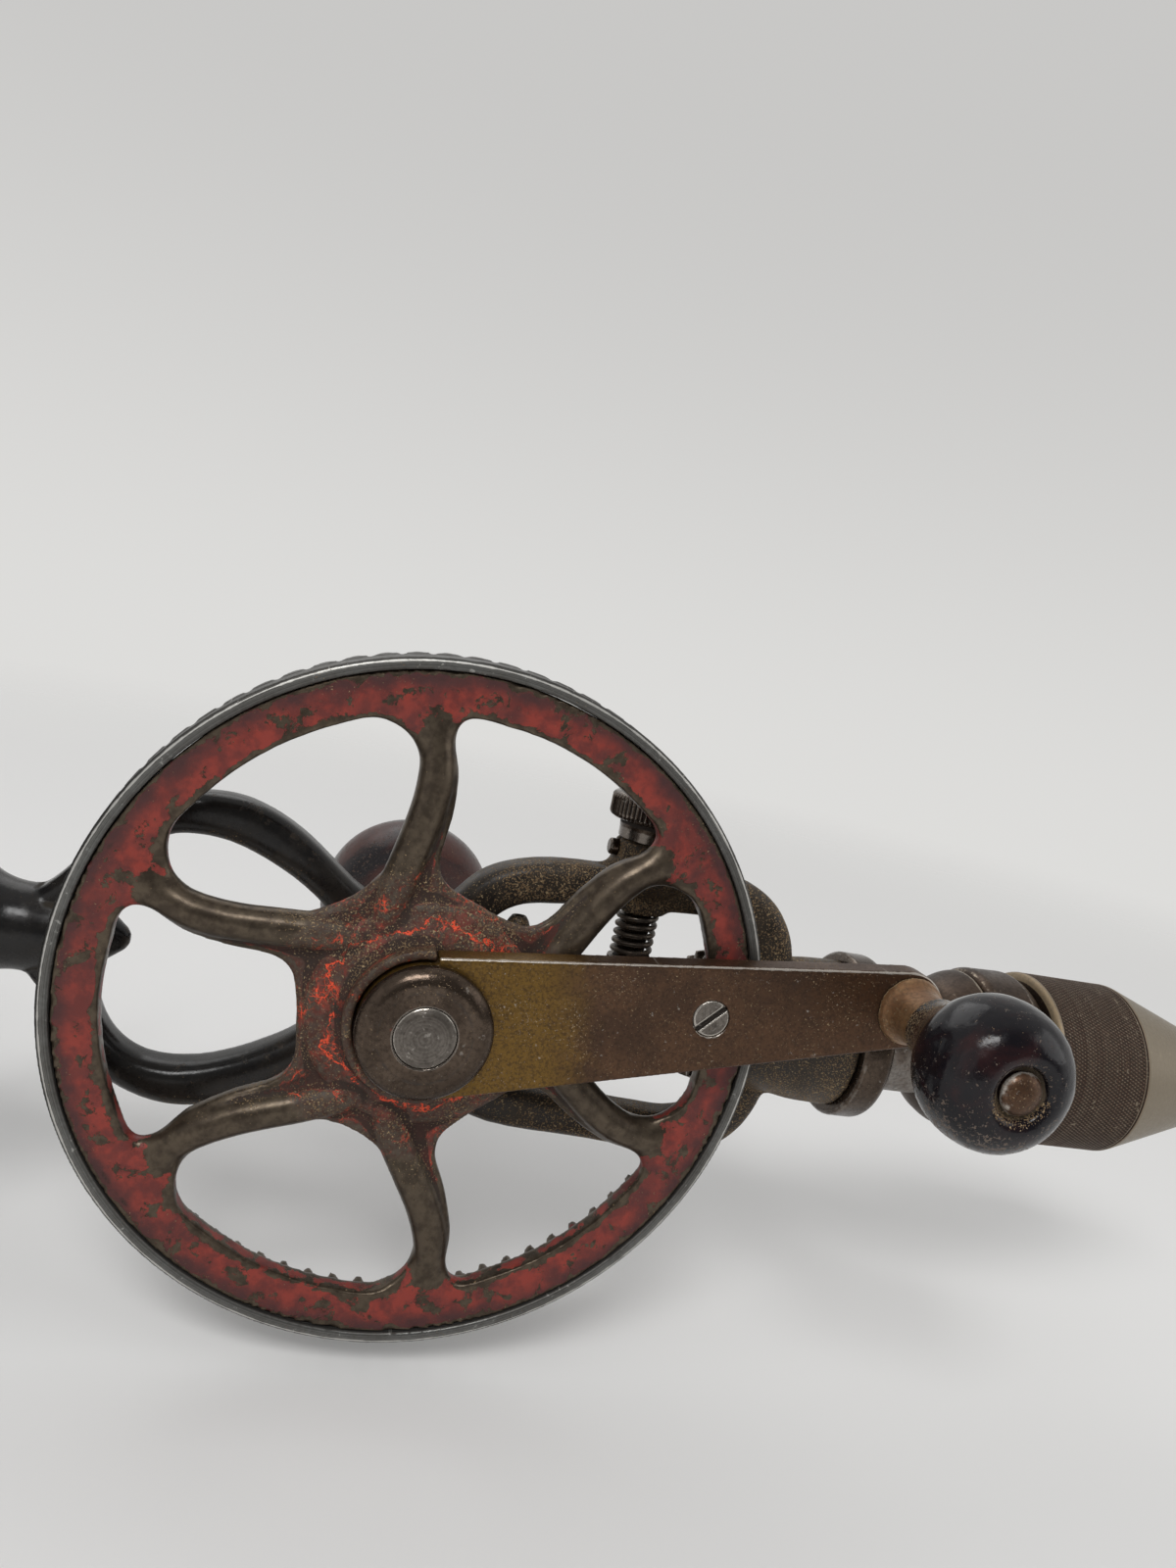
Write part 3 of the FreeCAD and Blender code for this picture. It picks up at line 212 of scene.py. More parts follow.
def turnedPiece(name, outline, columns, axis="X", place=(0, 0, 0)):
    # a ring of edges, drawn out and resized from corner to corner of the outline
    clearSelection()
    way = {"X": Vector((1, 0, 0)), "Z": Vector((0, 0, 1))}[axis]
    corners = [(along * mm, max(radius, 0.0005) * mm) for along, radius in outline]
    start, size = corners[0]
    bpy.ops.mesh.primitive_circle_add(vertices=columns, radius=size, location=Vector(place) + way * start,
                                      rotation=(0, math.pi / 2 if axis == "X" else 0, 0))
    piece = bpy.context.object
    piece.name = piece.data.name = name
    bpy.ops.object.mode_set(mode="EDIT")
    bpy.ops.mesh.select_all(action="SELECT")
    for along, radius in corners[1:]:
        bpy.ops.mesh.extrude_edges_move(TRANSFORM_OT_translate={"value": way * (along - start)})
        bpy.ops.transform.resize(value=[1 if part else radius / size for part in way],
                                 center_override=Vector(place) + way * along)
        start, size = along, radius
    bpy.ops.object.mode_set(mode="OBJECT")
    bpy.ops.object.transform_apply()
    mergePoints(piece)
    return piece


def pressIn(piece, chosen, depth, radius, axis="X", centre=(0, 0, 0)):
    # the chosen points move in towards the turning axis
    clearSelection()
    bpy.context.tool_settings.mesh_select_mode = (True, False, False)
    for part in (piece.data.polygons, piece.data.edges):
        part.foreach_set("select", np.zeros(len(part), bool))
    piece.data.vertices.foreach_set("select", chosen)
    pick(piece)
    bpy.ops.object.mode_set(mode="EDIT")
    factor = 1 - depth / radius
    bpy.ops.transform.resize(value=[1 if axis == name else factor for name in "XYZ"], center_override=centre)
    bpy.ops.object.mode_set(mode="OBJECT")


def settle(piece, body, *nodes, finish=None):
    slot = nodeSlots[nodes[0]]
    piece.data.materials.clear()
    piece.data.materials.append(finish or finishes[slot])
    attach(piece, body)
    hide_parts(*nodes)
    print("drill:", piece.name, len(piece.data.polygons), "faces")


# Laying out nodes

class NodeDesk:
    def __init__(self, tree):
        self.tree = tree

    def add(self, kind, inputs=None, **settings):
        node = self.tree.nodes.new("ShaderNode" + kind)
        for name, value in settings.items():
            setattr(node, name, value)
        for name, value in (inputs or {}).items():
            self.feed(node.inputs[name], value)
        return node

    def feed(self, socket, value):
        if isinstance(value, bpy.types.NodeSocket):
            self.tree.links.new(value, socket)
        else:
            socket.default_value = value

    def maths(self, operation, *values):
        node = self.add("Math", operation=operation)
        for socket, value in zip(node.inputs, values):
            self.feed(socket, value)
        return node.outputs[0]

    def step(self, value, low, high, fromValue=0.0, toValue=1.0):
        node = self.add("MapRange", interpolation_type="SMOOTHSTEP")
        for socket, number in zip(node.inputs, (value, low, high, fromValue, toValue)):
            self.feed(socket, number)
        return node.outputs[0]

    def mix(self, mask, first, second):
        node = self.add("Mix", data_type="RGBA", clamp_factor=True)
        for index, value in ((0, mask), (6, first), (7, second)):
            self.feed(node.inputs[index], (*value, 1) if isinstance(value, tuple) else value)
        return node.outputs[2]

    def blendValue(self, mask, first, second):
        node = self.add("Mix", data_type="FLOAT", clamp_factor=True)
        for index, value in ((0, mask), (2, first), (3, second)):
            self.feed(node.inputs[index], value)
        return node.outputs[0]

    def place(self):
        return self.add("TexCoord").outputs["Object"]

    def noise(self, scale, detail=2.0, roughness=0.5, place=None, distortion=0.0):
        node = self.add("TexNoise", {"Vector": place or self.place(), "Scale": scale, "Detail": detail,
                                     "Roughness": roughness, "Distortion": distortion})
        return node.outputs[0]

    def attribute(self, name):
        return self.add("Attribute", attribute_name=name).outputs["Fac"]

    def group(self, name, **inputs):
        node = self.tree.nodes.new("ShaderNodeGroup")
        node.node_tree = effects[name]
        for socketName, value in inputs.items():
            self.feed(node.inputs[socketName], value)
        return node.outputs[0]


effects = {}
brownGrime = (0.028, 0.021, 0.016)
tanDust = (0.150, 0.096, 0.050)
paleDust = (0.34, 0.25, 0.14)


def newEffect(name, output, **inputs):
    # a node group with float inputs and one float output
    tree = bpy.data.node_groups.new(name, "ShaderNodeTree")
    for socketName, value in inputs.items():
        socket = tree.interface.new_socket(name=socketName, in_out="INPUT", socket_type="NodeSocketFloat")
        socket.default_value = value
    tree.interface.new_socket(name=output, in_out="OUTPUT", socket_type="NodeSocketFloat")
    desk = NodeDesk(tree)
    entry = tree.nodes.new("NodeGroupInput")
    leave = tree.nodes.new("NodeGroupOutput")
    effects[name] = tree
    return desk, entry.outputs, leave.inputs[0]


# Grains of tan dust, thicker in some places than in others
desk, given, result = newEffect("dustGrains", "Mask", Scale=3500.0, Amount=0.5)
grain = desk.noise(given["Scale"], 1.5, 0.6)
drift = desk.noise(120.0, 3.0, 0.55)
level = desk.maths("MULTIPLY_ADD", desk.maths("SUBTRACT", drift, 0.5), 0.35, grain)
level = desk.maths("MULTIPLY_ADD", given["Amount"], 0.26, level)
desk.feed(result, desk.step(level, 0.78, 0.83))

# Metal or undercoat shows where edges stick out
desk, given, result = newEffect("edgeWear", "Mask", Amount=0.5, Scale=700.0)
ragged = desk.noise(given["Scale"], 5.0, 0.62)
level = desk.maths("MULTIPLY_ADD", ragged, 0.5, desk.attribute("edge"))
level = desk.maths("MULTIPLY_ADD", given["Amount"], 0.3, level)
desk.feed(result, desk.step(level, 1.02, 1.16))

# Dirt lies in corners and grooves
desk, given, result = newEffect("cornerDirt", "Mask", Amount=0.5, Scale=500.0)
ragged = desk.noise(given["Scale"], 4.0, 0.6)
level = desk.maths("MULTIPLY_ADD", ragged, 0.3, desk.attribute("edge"))
level = desk.maths("MULTIPLY_ADD", given["Amount"], -0.25, level)
desk.feed(result, desk.step(level, 0.50, 0.36))

# Blotches with a soft or ragged rim
desk, given, result = newEffect("blotches", "Mask", Scale=120.0, Level=0.5, Softness=0.08)
cloud = desk.noise(given["Scale"], 9.0, 0.62, distortion=0.4)
low = desk.maths("SUBTRACT", given["Level"], given["Softness"])
high = desk.maths("ADD", given["Level"], given["Softness"])
desk.feed(result, desk.step(cloud, low, high))

# Fine lines that a lathe leaves, by distance from the axis and place along it
desk, given, result = newEffect("turnedLines", "Height", Radius=0.0, Along=0.0, Fineness=2500.0)
point = desk.add("CombineXYZ", {"X": given["Radius"], "Y": given["Along"]}).outputs[0]
desk.feed(result, desk.noise(given["Fineness"], 3.0, 0.7, place=point))

# Cracks that part old paint and grime into scales
desk, given, result = newEffect("crackle", "Mask", Scale=650.0, Width=0.06, Amount=0.5)
wobble = desk.add("TexNoise", {"Vector": desk.place(), "Scale": 900.0, "Detail": 3.0})
shift = desk.add("VectorMath", {0: wobble.outputs["Color"], 1: (0.5, 0.5, 0.5)}, operation="SUBTRACT")
shift = desk.add("VectorMath", {0: shift.outputs[0], "Scale": 0.0013}, operation="SCALE")
place = desk.add("VectorMath", {0: desk.place(), 1: shift.outputs[0]}, operation="ADD").outputs[0]
cells = desk.add("TexVoronoi", {"Vector": place, "Scale": given["Scale"]}, feature="DISTANCE_TO_EDGE")
line = desk.step(cells.outputs["Distance"], given["Width"], desk.maths("MULTIPLY", given["Width"], 0.3))
chance = desk.maths("MULTIPLY_ADD", given["Amount"], 0.4, desk.noise(210.0, 4.0, 0.6))
desk.feed(result, desk.maths("MULTIPLY", line, desk.step(chance, 0.60, 0.74)))

# Hairline scratches, drawn out one way
desk, given, result = newEffect("scratches", "Mask", Scale=900.0, Amount=0.5)
turned = desk.add("Mapping", {"Vector": desk.place(), "Rotation": (0.3, 0.5, 0.9), "Scale": (1.0, 0.06, 1.0)})
streak = desk.noise(given["Scale"], 3.0, 0.6, place=turned.outputs[0])
level = desk.maths("MULTIPLY_ADD", given["Amount"], 0.2, streak)
desk.feed(result, desk.step(level, 0.70, 0.80))


def axisDistances(desk, look):
    # distance from the piece's turning axis and place along it
    centre = look.get("centre", axle)
    shifted = desk.add("VectorMath", {0: desk.place(), 1: centre}, operation="SUBTRACT").outputs[0]
    along = {"X": (1, 0, 0), "Y": (0, 1, 0), "Z": (0, 0, 1)}[look.get("axis", "Y")]
    across = tuple(1 - value for value in along)
    flat = desk.add("VectorMath", {0: shifted, 1: across}, operation="MULTIPLY").outputs[0]
    radius = desk.add("VectorMath", {0: flat}, operation="LENGTH").outputs["Value"]
    place = desk.add("VectorMath", {0: shifted, 1: along}, operation="DOT_PRODUCT").outputs["Value"]
    return radius, place


def startMaterial(name):
    material = bpy.data.materials.new(name)
    material.use_nodes = True
    tree = material.node_tree
    tree.nodes.clear()
    desk = NodeDesk(tree)
    output = desk.add("OutputMaterial")
    surface = desk.add("BsdfPrincipled")
    tree.links.new(surface.outputs[0], output.inputs[0])
    return material, desk, surface


def addBump(desk, surface, height, depth):
    bump = desk.add("Bump", {"Height": height, "Distance": depth, "Strength": 1.0})
    desk.feed(surface.inputs["Normal"], bump.outputs[0])


def dusted(desk, dust, colour):
    # single grains are paler than the rest
    pale = desk.step(desk.noise(2600.0, 1.0, 0.5), 0.5, 0.7)
    return desk.mix(dust, colour, desk.mix(pale, tanDust, paleDust))


def around(desk, value, amount, base):
    # a noise moves the base value up and down
    return desk.maths("MULTIPLY_ADD", desk.maths("SUBTRACT", value, 0.5), amount, base)


def agedMetal(name, **look):
    # bare metal: two tones of patina, bright edges, dirty corners, dust grains and tool marks
    material, desk, surface = startMaterial(name)
    patch = desk.group("blotches", Scale=130.0, Level=0.5, Softness=0.12)
    colour = desk.mix(patch, look["metal"], look["patina"])
    for attributeName, tone, low, high in look.get("tints", ()):    # zones with a tone of their own
        amount = desk.maths("MULTIPLY_ADD", desk.noise(240.0, 6.0, 0.6), 0.6, desk.attribute(attributeName))
        colour = desk.mix(desk.step(amount, low, high), colour, tone)
    mottle = desk.noise(look.get("mottleScale", 1500.0), 4.0, 0.65)
    colour = desk.mix(desk.step(mottle, 0.42, 0.66, 0.0, look.get("mottle", 0.45)), colour, look["grime"])
    if look.get("lines"):
        radius, along = axisDistances(desk, look)
        lines = desk.group("turnedLines", Radius=radius, Along=along, Fineness=look.get("fineness", 2500.0))
        lineTone = desk.step(lines, 0.40, 0.66, 0.0, look.get("lineTone", 0.0))
        colour = desk.mix(lineTone, colour, look["bright"])
    if "polishedRing" in look:      # one thin line rubbed bright all the way round
        ringRadius, ringFrom, ringFull = look["polishedRing"]
        offset = desk.maths("ABSOLUTE", desk.maths("SUBTRACT", radius, ringRadius))
        reach = desk.step(desk.noise(330.0, 4.0, 0.6), 0.34, 0.62, 0.10 * mm, 0.26 * mm)
        ring = desk.maths("MULTIPLY", desk.step(offset, reach, desk.maths("MULTIPLY", reach, 0.35)),
                          desk.step(along, ringFrom, ringFull))
        colour = desk.mix(ring, colour, look["bright"])
    wear = desk.group("edgeWear", Amount=look.get("wear", 0.5))
    colour = desk.mix(desk.maths("MULTIPLY", wear, look.get("wearDepth", 1.0)), colour, look["bright"])
    dirt = desk.group("cornerDirt", Amount=look.get("dirt", 0.5))
    colour = desk.mix(dirt, colour, look["grime"])
    dust = desk.group("dustGrains", Amount=look.get("dustAmount", 0.4))
    colour = dusted(desk, dust, colour)
    scratch = desk.group("scratches", Amount=look.get("scratches", 0.3))
    colour = desk.mix(desk.maths("MULTIPLY", scratch, 0.5), colour, look["bright"])
    desk.feed(surface.inputs["Base Color"], colour)
    surface.inputs["Specular IOR Level"].default_value = look.get("specular", 0.5)
    covered = desk.maths("MAXIMUM", dirt, dust)
    desk.feed(surface.inputs["Metallic"], desk.blendValue(covered, look.get("metallic", 0.8), 0.1))
    rough = desk.blendValue(patch, look["smooth"], look["rough"])
    rough = desk.blendValue(wear, rough, look["smooth"] - 0.08)
    rough = around(desk, mottle, 0.35, rough)
    desk.feed(surface.inputs["Roughness"], desk.blendValue(covered, rough, 0.8))
    height = desk.maths("MULTIPLY", mottle, 0.6)
    height = desk.maths("MULTIPLY_ADD", dust, 0.35, height)
    height = desk.maths("MULTIPLY_ADD", scratch, -0.25, height)
    if look.get("lines"):
        height = desk.maths("MULTIPLY_ADD", lines, look["lines"], height)
    addBump(desk, surface, height, look.get("relief", 0.05) * mm)
    return material


def wornPaint(name, **look):
    # paint over iron: what is left of it, what shows below, stains, grime, cracks and dust, and painted shade in a
    # given zone
    material, desk, surface = startMaterial(name)
    ragged = desk.noise(look.get("raggedScale", 330.0), 10.0, 0.68, distortion=0.3)
    stuck = around(desk, desk.attribute("edge"), -look["edgeLoss"], ragged)
    if "bare" in look:
        stuck = desk.maths("MULTIPLY_ADD", desk.attribute(look["bare"]), -look["bareLoss"], stuck)
    level = look["paintLevel"]
    paint = desk.step(stuck, level - 0.008, level + 0.008)
    tone = desk.step(desk.noise(look.get("toneScale", 150.0), 7.0, 0.66), 0.40, 0.60)
    colour = desk.mix(tone, look["paint"], look["shade"])
    stain = desk.group("blotches", Scale=look.get("stainScale", 170.0), Level=0.56,
                       Softness=look.get("stainSoftness", 0.08))
    stain = desk.maths("MULTIPLY", stain, look["stainDepth"])
    # darkening in this zone is painted shade, with some grime, where the web meets the rim
    if "stainZone" in look:
        zone = desk.maths("ADD", desk.attribute(look["stainZone"]), desk.noise(160.0, 5.0, 0.6))
        stain = desk.maths("MAXIMUM", desk.maths("MULTIPLY", stain, 0.55), desk.step(zone, 0.75, 1.35, 0.0, 0.85))
    colour = desk.mix(stain, colour, look["stain"])
    if "fresh" in look:     # unfaded paint shows where a chip has just gone
        chipRim = desk.maths("MULTIPLY", desk.step(stuck, level + 0.075, level + 0.012),
                             desk.step(desk.noise(420.0, 3.0, 0.6), 0.40, 0.56))
        chipRim = desk.maths("MULTIPLY", chipRim, desk.maths("MULTIPLY_ADD", desk.attribute("vivid"), 0.8, 0.08))
        colour = desk.mix(chipRim, colour, look["fresh"])
    mottle = desk.noise(1300.0, 4.0, 0.65)
    ironTone = desk.mix(desk.step(desk.noise(520.0, 4.0, 0.6), 0.36, 0.66), look["iron"], look["ironDark"])
    colour = desk.mix(paint, ironTone, colour)
    covered = paint
    if "crack" in look:
        zone = desk.maths("MULTIPLY_ADD", desk.noise(230.0, 6.0, 0.66), 0.9, desk.attribute(look["crackZone"]))
        zone = desk.step(zone, 0.70, 1.00)
        crust = desk.mix(desk.step(mottle, 0.36, 0.64), look["crust"], look["ironDark"])
        depth = desk.step(desk.noise(260.0, 5.0, 0.62), 0.36, 0.52, 0.55, look["crustDepth"])
        colour = desk.mix(desk.maths("MULTIPLY", zone, depth), colour, crust)
        fine = desk.group("crackle", Scale=950.0, Width=0.075, Amount=0.21)
        wide = desk.group("crackle", Scale=300.0, Width=0.045, Amount=0.20)
        radius, _ = axisDistances(desk, look)
        wander = around(desk, desk.noise(170.0, 7.0, 0.66), 14 * mm, radius)
        ring = desk.maths("ABSOLUTE", desk.maths("SUBTRACT", wander, look["crackRing"]))
        width = desk.step(desk.noise(520.0, 3.0, 0.6), 0.40, 0.66, 0.05 * mm, 0.42 * mm)
        ring = desk.step(ring, desk.maths("ADD", width, 0.12 * mm), desk.maths("MULTIPLY", width, 0.6))
        crack = desk.maths("MAXIMUM", ring, desk.maths("MAXIMUM", desk.maths("MULTIPLY", fine, 0.6), wide))
        crack = desk.maths("MULTIPLY", crack, zone)
        colour = desk.mix(crack, colour, look["crack"])
        covered = desk.maths("MAXIMUM", covered, zone)
    dirt = desk.group("cornerDirt", Amount=0.35, Scale=420.0)
    colour = desk.mix(desk.maths("MULTIPLY", dirt, 0.85), colour, look["grime"])
    dusty = desk.attribute("dusty")
    if "film" in look:
        film = desk.maths("MULTIPLY", dusty, desk.step(desk.noise(300.0, 5.0, 0.6), 0.3, 0.7, 0.25, 0.9))
        colour = desk.mix(film, colour, look["film"])
        covered = desk.maths("MAXIMUM", covered, film)
    dust = desk.group("dustGrains", Scale=3300.0, Amount=dusty)
    colour = dusted(desk, dust, colour)
    desk.feed(surface.inputs["Base Color"], colour)
    loose = desk.maths("MAXIMUM", dirt, dust)
    desk.feed(surface.inputs["Metallic"], desk.blendValue(desk.maths("MAXIMUM", covered, loose), 0.7, 0.0))
    rough = desk.blendValue(paint, look.get("ironRough", 0.36), look["paintRough"])
    rough = desk.maths("MULTIPLY_ADD", stain, 0.10, rough)
    rough = around(desk, mottle, 0.3, rough)
    if "crack" in look:
        rough = desk.blendValue(zone, rough, 0.55)
    if "film" in look:
        rough = desk.blendValue(film, rough, 0.62)
    desk.feed(surface.inputs["Roughness"], desk.blendValue(loose, rough, 0.85))
    height = desk.maths("MULTIPLY", paint, 0.6)
    height = desk.maths("MULTIPLY_ADD", mottle, desk.blendValue(paint, 0.16, 0.34), height)
    height = desk.maths("MULTIPLY_ADD", dust, 0.4, height)
    height = desk.maths("MULTIPLY_ADD", stain, -0.2, height)
    if "crack" in look:
        height = desk.maths("MULTIPLY_ADD", crack, -0.8, height)
    addBump(desk, surface, height, 0.06 * mm)
    surface.inputs["Specular IOR Level"].default_value = look["specular"]
    return material


def varnishedWood(name, **look):
    # turned wood under old varnish, rubbed through in places, with pits and dents
    material, desk, surface = startMaterial(name)
    worn = desk.group("blotches", Scale=90.0, Level=look["wornLevel"], Softness=0.12)
    grainPlace = desk.add("Mapping", {"Vector": desk.place(), "Scale": (1.0, 0.07, 1.0)}).outputs[0]
    grain = desk.noise(1500.0, 4.0, 0.6, place=grainPlace)
    wood = desk.mix(grain, look["wood"], look["woodDark"])
    colour = desk.mix(worn, look["varnish"], wood)
    chips = desk.maths("MULTIPLY_ADD", desk.attribute("pitted"), 0.10, desk.noise(1500.0, 4.0, 0.72))
    chips = around(desk, desk.noise(190.0, 3.0, 0.6), 0.25, chips)
    chips = desk.step(chips, 0.635, 0.675)
    colour = desk.mix(desk.maths("MULTIPLY", chips, 0.75), colour, look["chip"])
    dirt = desk.group("cornerDirt")
    colour = desk.mix(dirt, colour, look["grime"])
    dust = desk.group("dustGrains", Scale=3600.0, Amount=desk.attribute("dusty"))
    colour = dusted(desk, dust, colour)
    desk.feed(surface.inputs["Base Color"], colour)
    rough = desk.blendValue(worn, look["gloss"], look["gloss"] + 0.12)
    rough = desk.maths("MULTIPLY_ADD", chips, 0.4, rough)
    smear = desk.noise(700.0, 5.0, 0.6)
    rough = around(desk, smear, 0.25, rough)
    desk.feed(surface.inputs["Roughness"], desk.blendValue(dust, rough, 0.8))
    height = desk.maths("MULTIPLY_ADD", chips, -0.9, desk.maths("MULTIPLY", smear, 0.8))
    height = desk.maths("MULTIPLY_ADD", grain, 0.25, height)
    height = desk.maths("MULTIPLY_ADD", dust, 0.3, height)
    addBump(desk, surface, height, 0.07 * mm)
    surface.inputs["Specular IOR Level"].default_value = look["specular"]
    return material


finishes = {
    "red_enamel": wornPaint(
        "redEnamel", paint=(0.225, 0.031, 0.021), shade=(0.118, 0.021, 0.017), stain=(0.040, 0.017, 0.017),
        fresh=(0.46, 0.058, 0.024), iron=(0.100, 0.077, 0.054), ironDark=(0.056, 0.042, 0.030),
        grime=(0.026, 0.017, 0.013), crust=(0.046, 0.015, 0.008), crustDepth=0.9, crack=(0.74, 0.074, 0.026),
        crackZone="hub", crackRing=15.0 * mm, bare="spoke", bareLoss=0.42, paintLevel=0.412, edgeLoss=0.45,
        # the paint next to the rim is darkened: painted shade, with some grime at the step
        raggedScale=250.0, toneScale=260.0, stainZone="outer", stainDepth=0.9, stainScale=120.0, ironRough=0.33,
        paintRough=0.42, specular=0.35),
    "black_enamel": wornPaint(
        "blackEnamel", paint=(0.0085, 0.0082, 0.0085), shade=(0.014, 0.013, 0.012), stain=(0.022, 0.018, 0.015),
        iron=(0.060, 0.050, 0.042), ironDark=(0.028, 0.023, 0.019), grime=(0.030, 0.024, 0.017),
        film=(0.040, 0.029, 0.019), paintLevel=0.27, edgeLoss=0.55, paintRough=0.22, stainSoftness=0.12,
        stainDepth=0.5, specular=0.3),
    "arm_steel": agedMetal(
        "armSteel", metal=(0.096, 0.049, 0.026), patina=(0.068, 0.036, 0.021), grime=(0.036, 0.021, 0.013),
        # on the arm's upper front edge this bright tone is wear with a painted highlight
        bright=(0.50, 0.46, 0.41), tints=[("nearHub", (0.160, 0.089, 0.018), 0.55, 1.1)], metallic=0.7, smooth=0.38,
        rough=0.46, wear=0.30, wearDepth=0.85, dustAmount=0.45, scratches=0.2, relief=0.04, mottle=0.60,
        mottleScale=2300.0),
    "dark_steel": agedMetal(
        "darkSteel", metal=(0.094, 0.068, 0.050), patina=(0.058, 0.041, 0.030), grime=(0.026, 0.018, 0.013),
        bright=(0.30, 0.27, 0.24), metallic=0.85, smooth=0.20, rough=0.27, wear=0.0, wearDepth=0.4, dustAmount=0.3,
        lines=0.3, mottle=0.5, tints=[("traces", (0.30, 0.040, 0.028), 0.98, 1.08)]),
    "spindle_steel": agedMetal(
        "spindleSteel", metal=(0.22, 0.20, 0.18), patina=(0.13, 0.10, 0.08), grime=brownGrime,
        bright=(0.55, 0.52, 0.48), smooth=0.33, rough=0.45, axis="X", lines=0.6),
    "chuck_steel": agedMetal(
        "chuckSteel", metal=(0.084, 0.057, 0.041), patina=(0.056, 0.038, 0.028), grime=brownGrime,
        bright=(0.36, 0.30, 0.23), smooth=0.34, rough=0.44, wear=0.2, wearDepth=0.8, axis="X", lines=0.5,
        dustAmount=0.2),
    "nose_steel": agedMetal(
        "noseSteel", metal=(0.056, 0.045, 0.033), patina=(0.038, 0.030, 0.022), grime=(0.026, 0.019, 0.014),
        bright=(0.30, 0.25, 0.18), smooth=0.48, rough=0.58, wear=0.2, wearDepth=0.6, axis="X", lines=0.6,
        lineTone=0.12, dustAmount=0.25, metallic=0.3, dirt=0.65, mottle=0.6, specular=0.22,
        tints=[("knurled", (0.062, 0.033, 0.022), 0.55, 1.1), ("lip", (0.30, 0.19, 0.08), 0.9, 1.1)]),
    "jaw_steel": agedMetal(
        "jawSteel", metal=(0.20, 0.19, 0.18), patina=(0.12, 0.10, 0.085), grime=brownGrime,
        bright=(0.50, 0.48, 0.45), smooth=0.36, rough=0.46),
    "hard_steel": agedMetal(
        "hardSteel", metal=(0.36, 0.35, 0.34), patina=(0.24, 0.22, 0.19), grime=brownGrime,
        bright=(0.62, 0.60, 0.58), smooth=0.28, rough=0.4),
    "spring_steel": agedMetal(
        "springSteel", metal=(0.14, 0.12, 0.10), patina=(0.09, 0.07, 0.055), grime=brownGrime,
        bright=(0.42, 0.38, 0.33), smooth=0.34, rough=0.46),
    "plain_bronze": agedMetal(
        "plainBronze", metal=(0.42, 0.25, 0.11), patina=(0.27, 0.15, 0.07), grime=brownGrime,
        bright=(0.62, 0.42, 0.22), smooth=0.34, rough=0.48),
    "ferrule_brass": agedMetal(
        "ferruleBrass", metal=(0.300, 0.170, 0.078), patina=(0.200, 0.102, 0.048), grime=(0.050, 0.032, 0.020),
        bright=(0.50, 0.38, 0.22), smooth=0.36, rough=0.5, wear=0.2, dustAmount=0.62, metallic=0.65,
        centre=knobCentre, lines=0.4),
    "knob_wood": varnishedWood(
        "knobWood", varnish=(0.0058, 0.0050, 0.0068), wood=(0.036, 0.010, 0.010), woodDark=(0.014, 0.006, 0.007),
        chip=(0.16, 0.12, 0.095), grime=(0.09, 0.07, 0.05), wornLevel=0.62, gloss=0.12, specular=0.28),
    "handle_wood": varnishedWood(
        "handleWood", varnish=(0.0085, 0.006, 0.0075), wood=(0.070, 0.018, 0.012), woodDark=(0.030, 0.010, 0.008),
        chip=(0.12, 0.07, 0.05), grime=(0.05, 0.04, 0.03), wornLevel=0.50, gloss=0.22, specular=0.3),
}
print("drill:", len(finishes), "finishes made")


# The wheel: painted web with its spokes, and the turned rim with its teeth

wheel = {
    # all in mm
    "groove": 55.2,                 # the rim parts from the web at this radius
    "toolFront": -32,               # the cutting tool reaches past both sides of the wheel
    "toolBack": -4,
    "webVoxel": 0.50,
    "rimVoxel": 0.34,
    "polishedRing": (56.6, -18.4, -18.9),   # radius, and place along the axle where it begins and is full
    # middle line of a spoke: out from the axle and across
    "ribLine": [(16, 2.6), (20.4, 7.2), (24.3, 12.1), (28.5, 17.2), (33, 21.3), (37.8, 23.9), (43.2, 26.4),
                (47.5, 29)],
    "ribPairs": 3,
    # distance at which a mask starts and at which it is full: from the spoke's middle line
    "ribMelts": (6.5, 3),
    "ribIsBare": (4.4, 2.2),
    # and from the axle
    "meltBegins": (39, 44),
    "meltEnds": (54.6, 53.1),
    "bareBegins": (18, 27),
    "bareEnds": (48.5, 42.5),
    "crustedHub": (26.5, 19.5),
    # painted shade, with some grime, on the paint next to the rim
    "stainedRing": (50, 55.2),
    "vividSides": (39, 32),
    "vividHub": (28, 22),
    "dustyHub": (34, 20),
    "dustyRing": (52, 55),
    "toothTips": (56.7, 57.2),
    # and along the axle
    "toothSide": (-19.2, -18.7),
}


def armFrame(points):
    # distance out along the crank arm and across it, in mm
    shifted = (points - np.array(axle)) / mm
    cosine, sine = math.cos(armTurn), math.sin(armTurn)
    return shifted[:, 0] * cosine + shifted[:, 2] * sine, shifted[:, 2] * cosine - shifted[:, 0] * sine


def axleDistance(points):
    return np.hypot(*armFrame(points))


def ribDistance(points):
    along, across = armFrame(points)
    nearest = np.full(len(points), np.inf)
    for pair in range(wheel["ribPairs"]):
        angle = 2 * math.pi * pair / wheel["ribPairs"]
        x = along * math.cos(angle) + across * math.sin(angle)
        z = np.abs(across * math.cos(angle) - along * math.sin(angle))
        for (x0, z0), (x1, z1) in zip(wheel["ribLine"], wheel["ribLine"][1:]):
            length = (x1 - x0) ** 2 + (z1 - z0) ** 2
            share = np.clip(((x - x0) * (x1 - x0) + (z - z0) * (z1 - z0)) / length, 0, 1)
            nearest = np.minimum(nearest, np.hypot(x - x0 - share * (x1 - x0), z - z0 - share * (z1 - z0)))
    return nearest


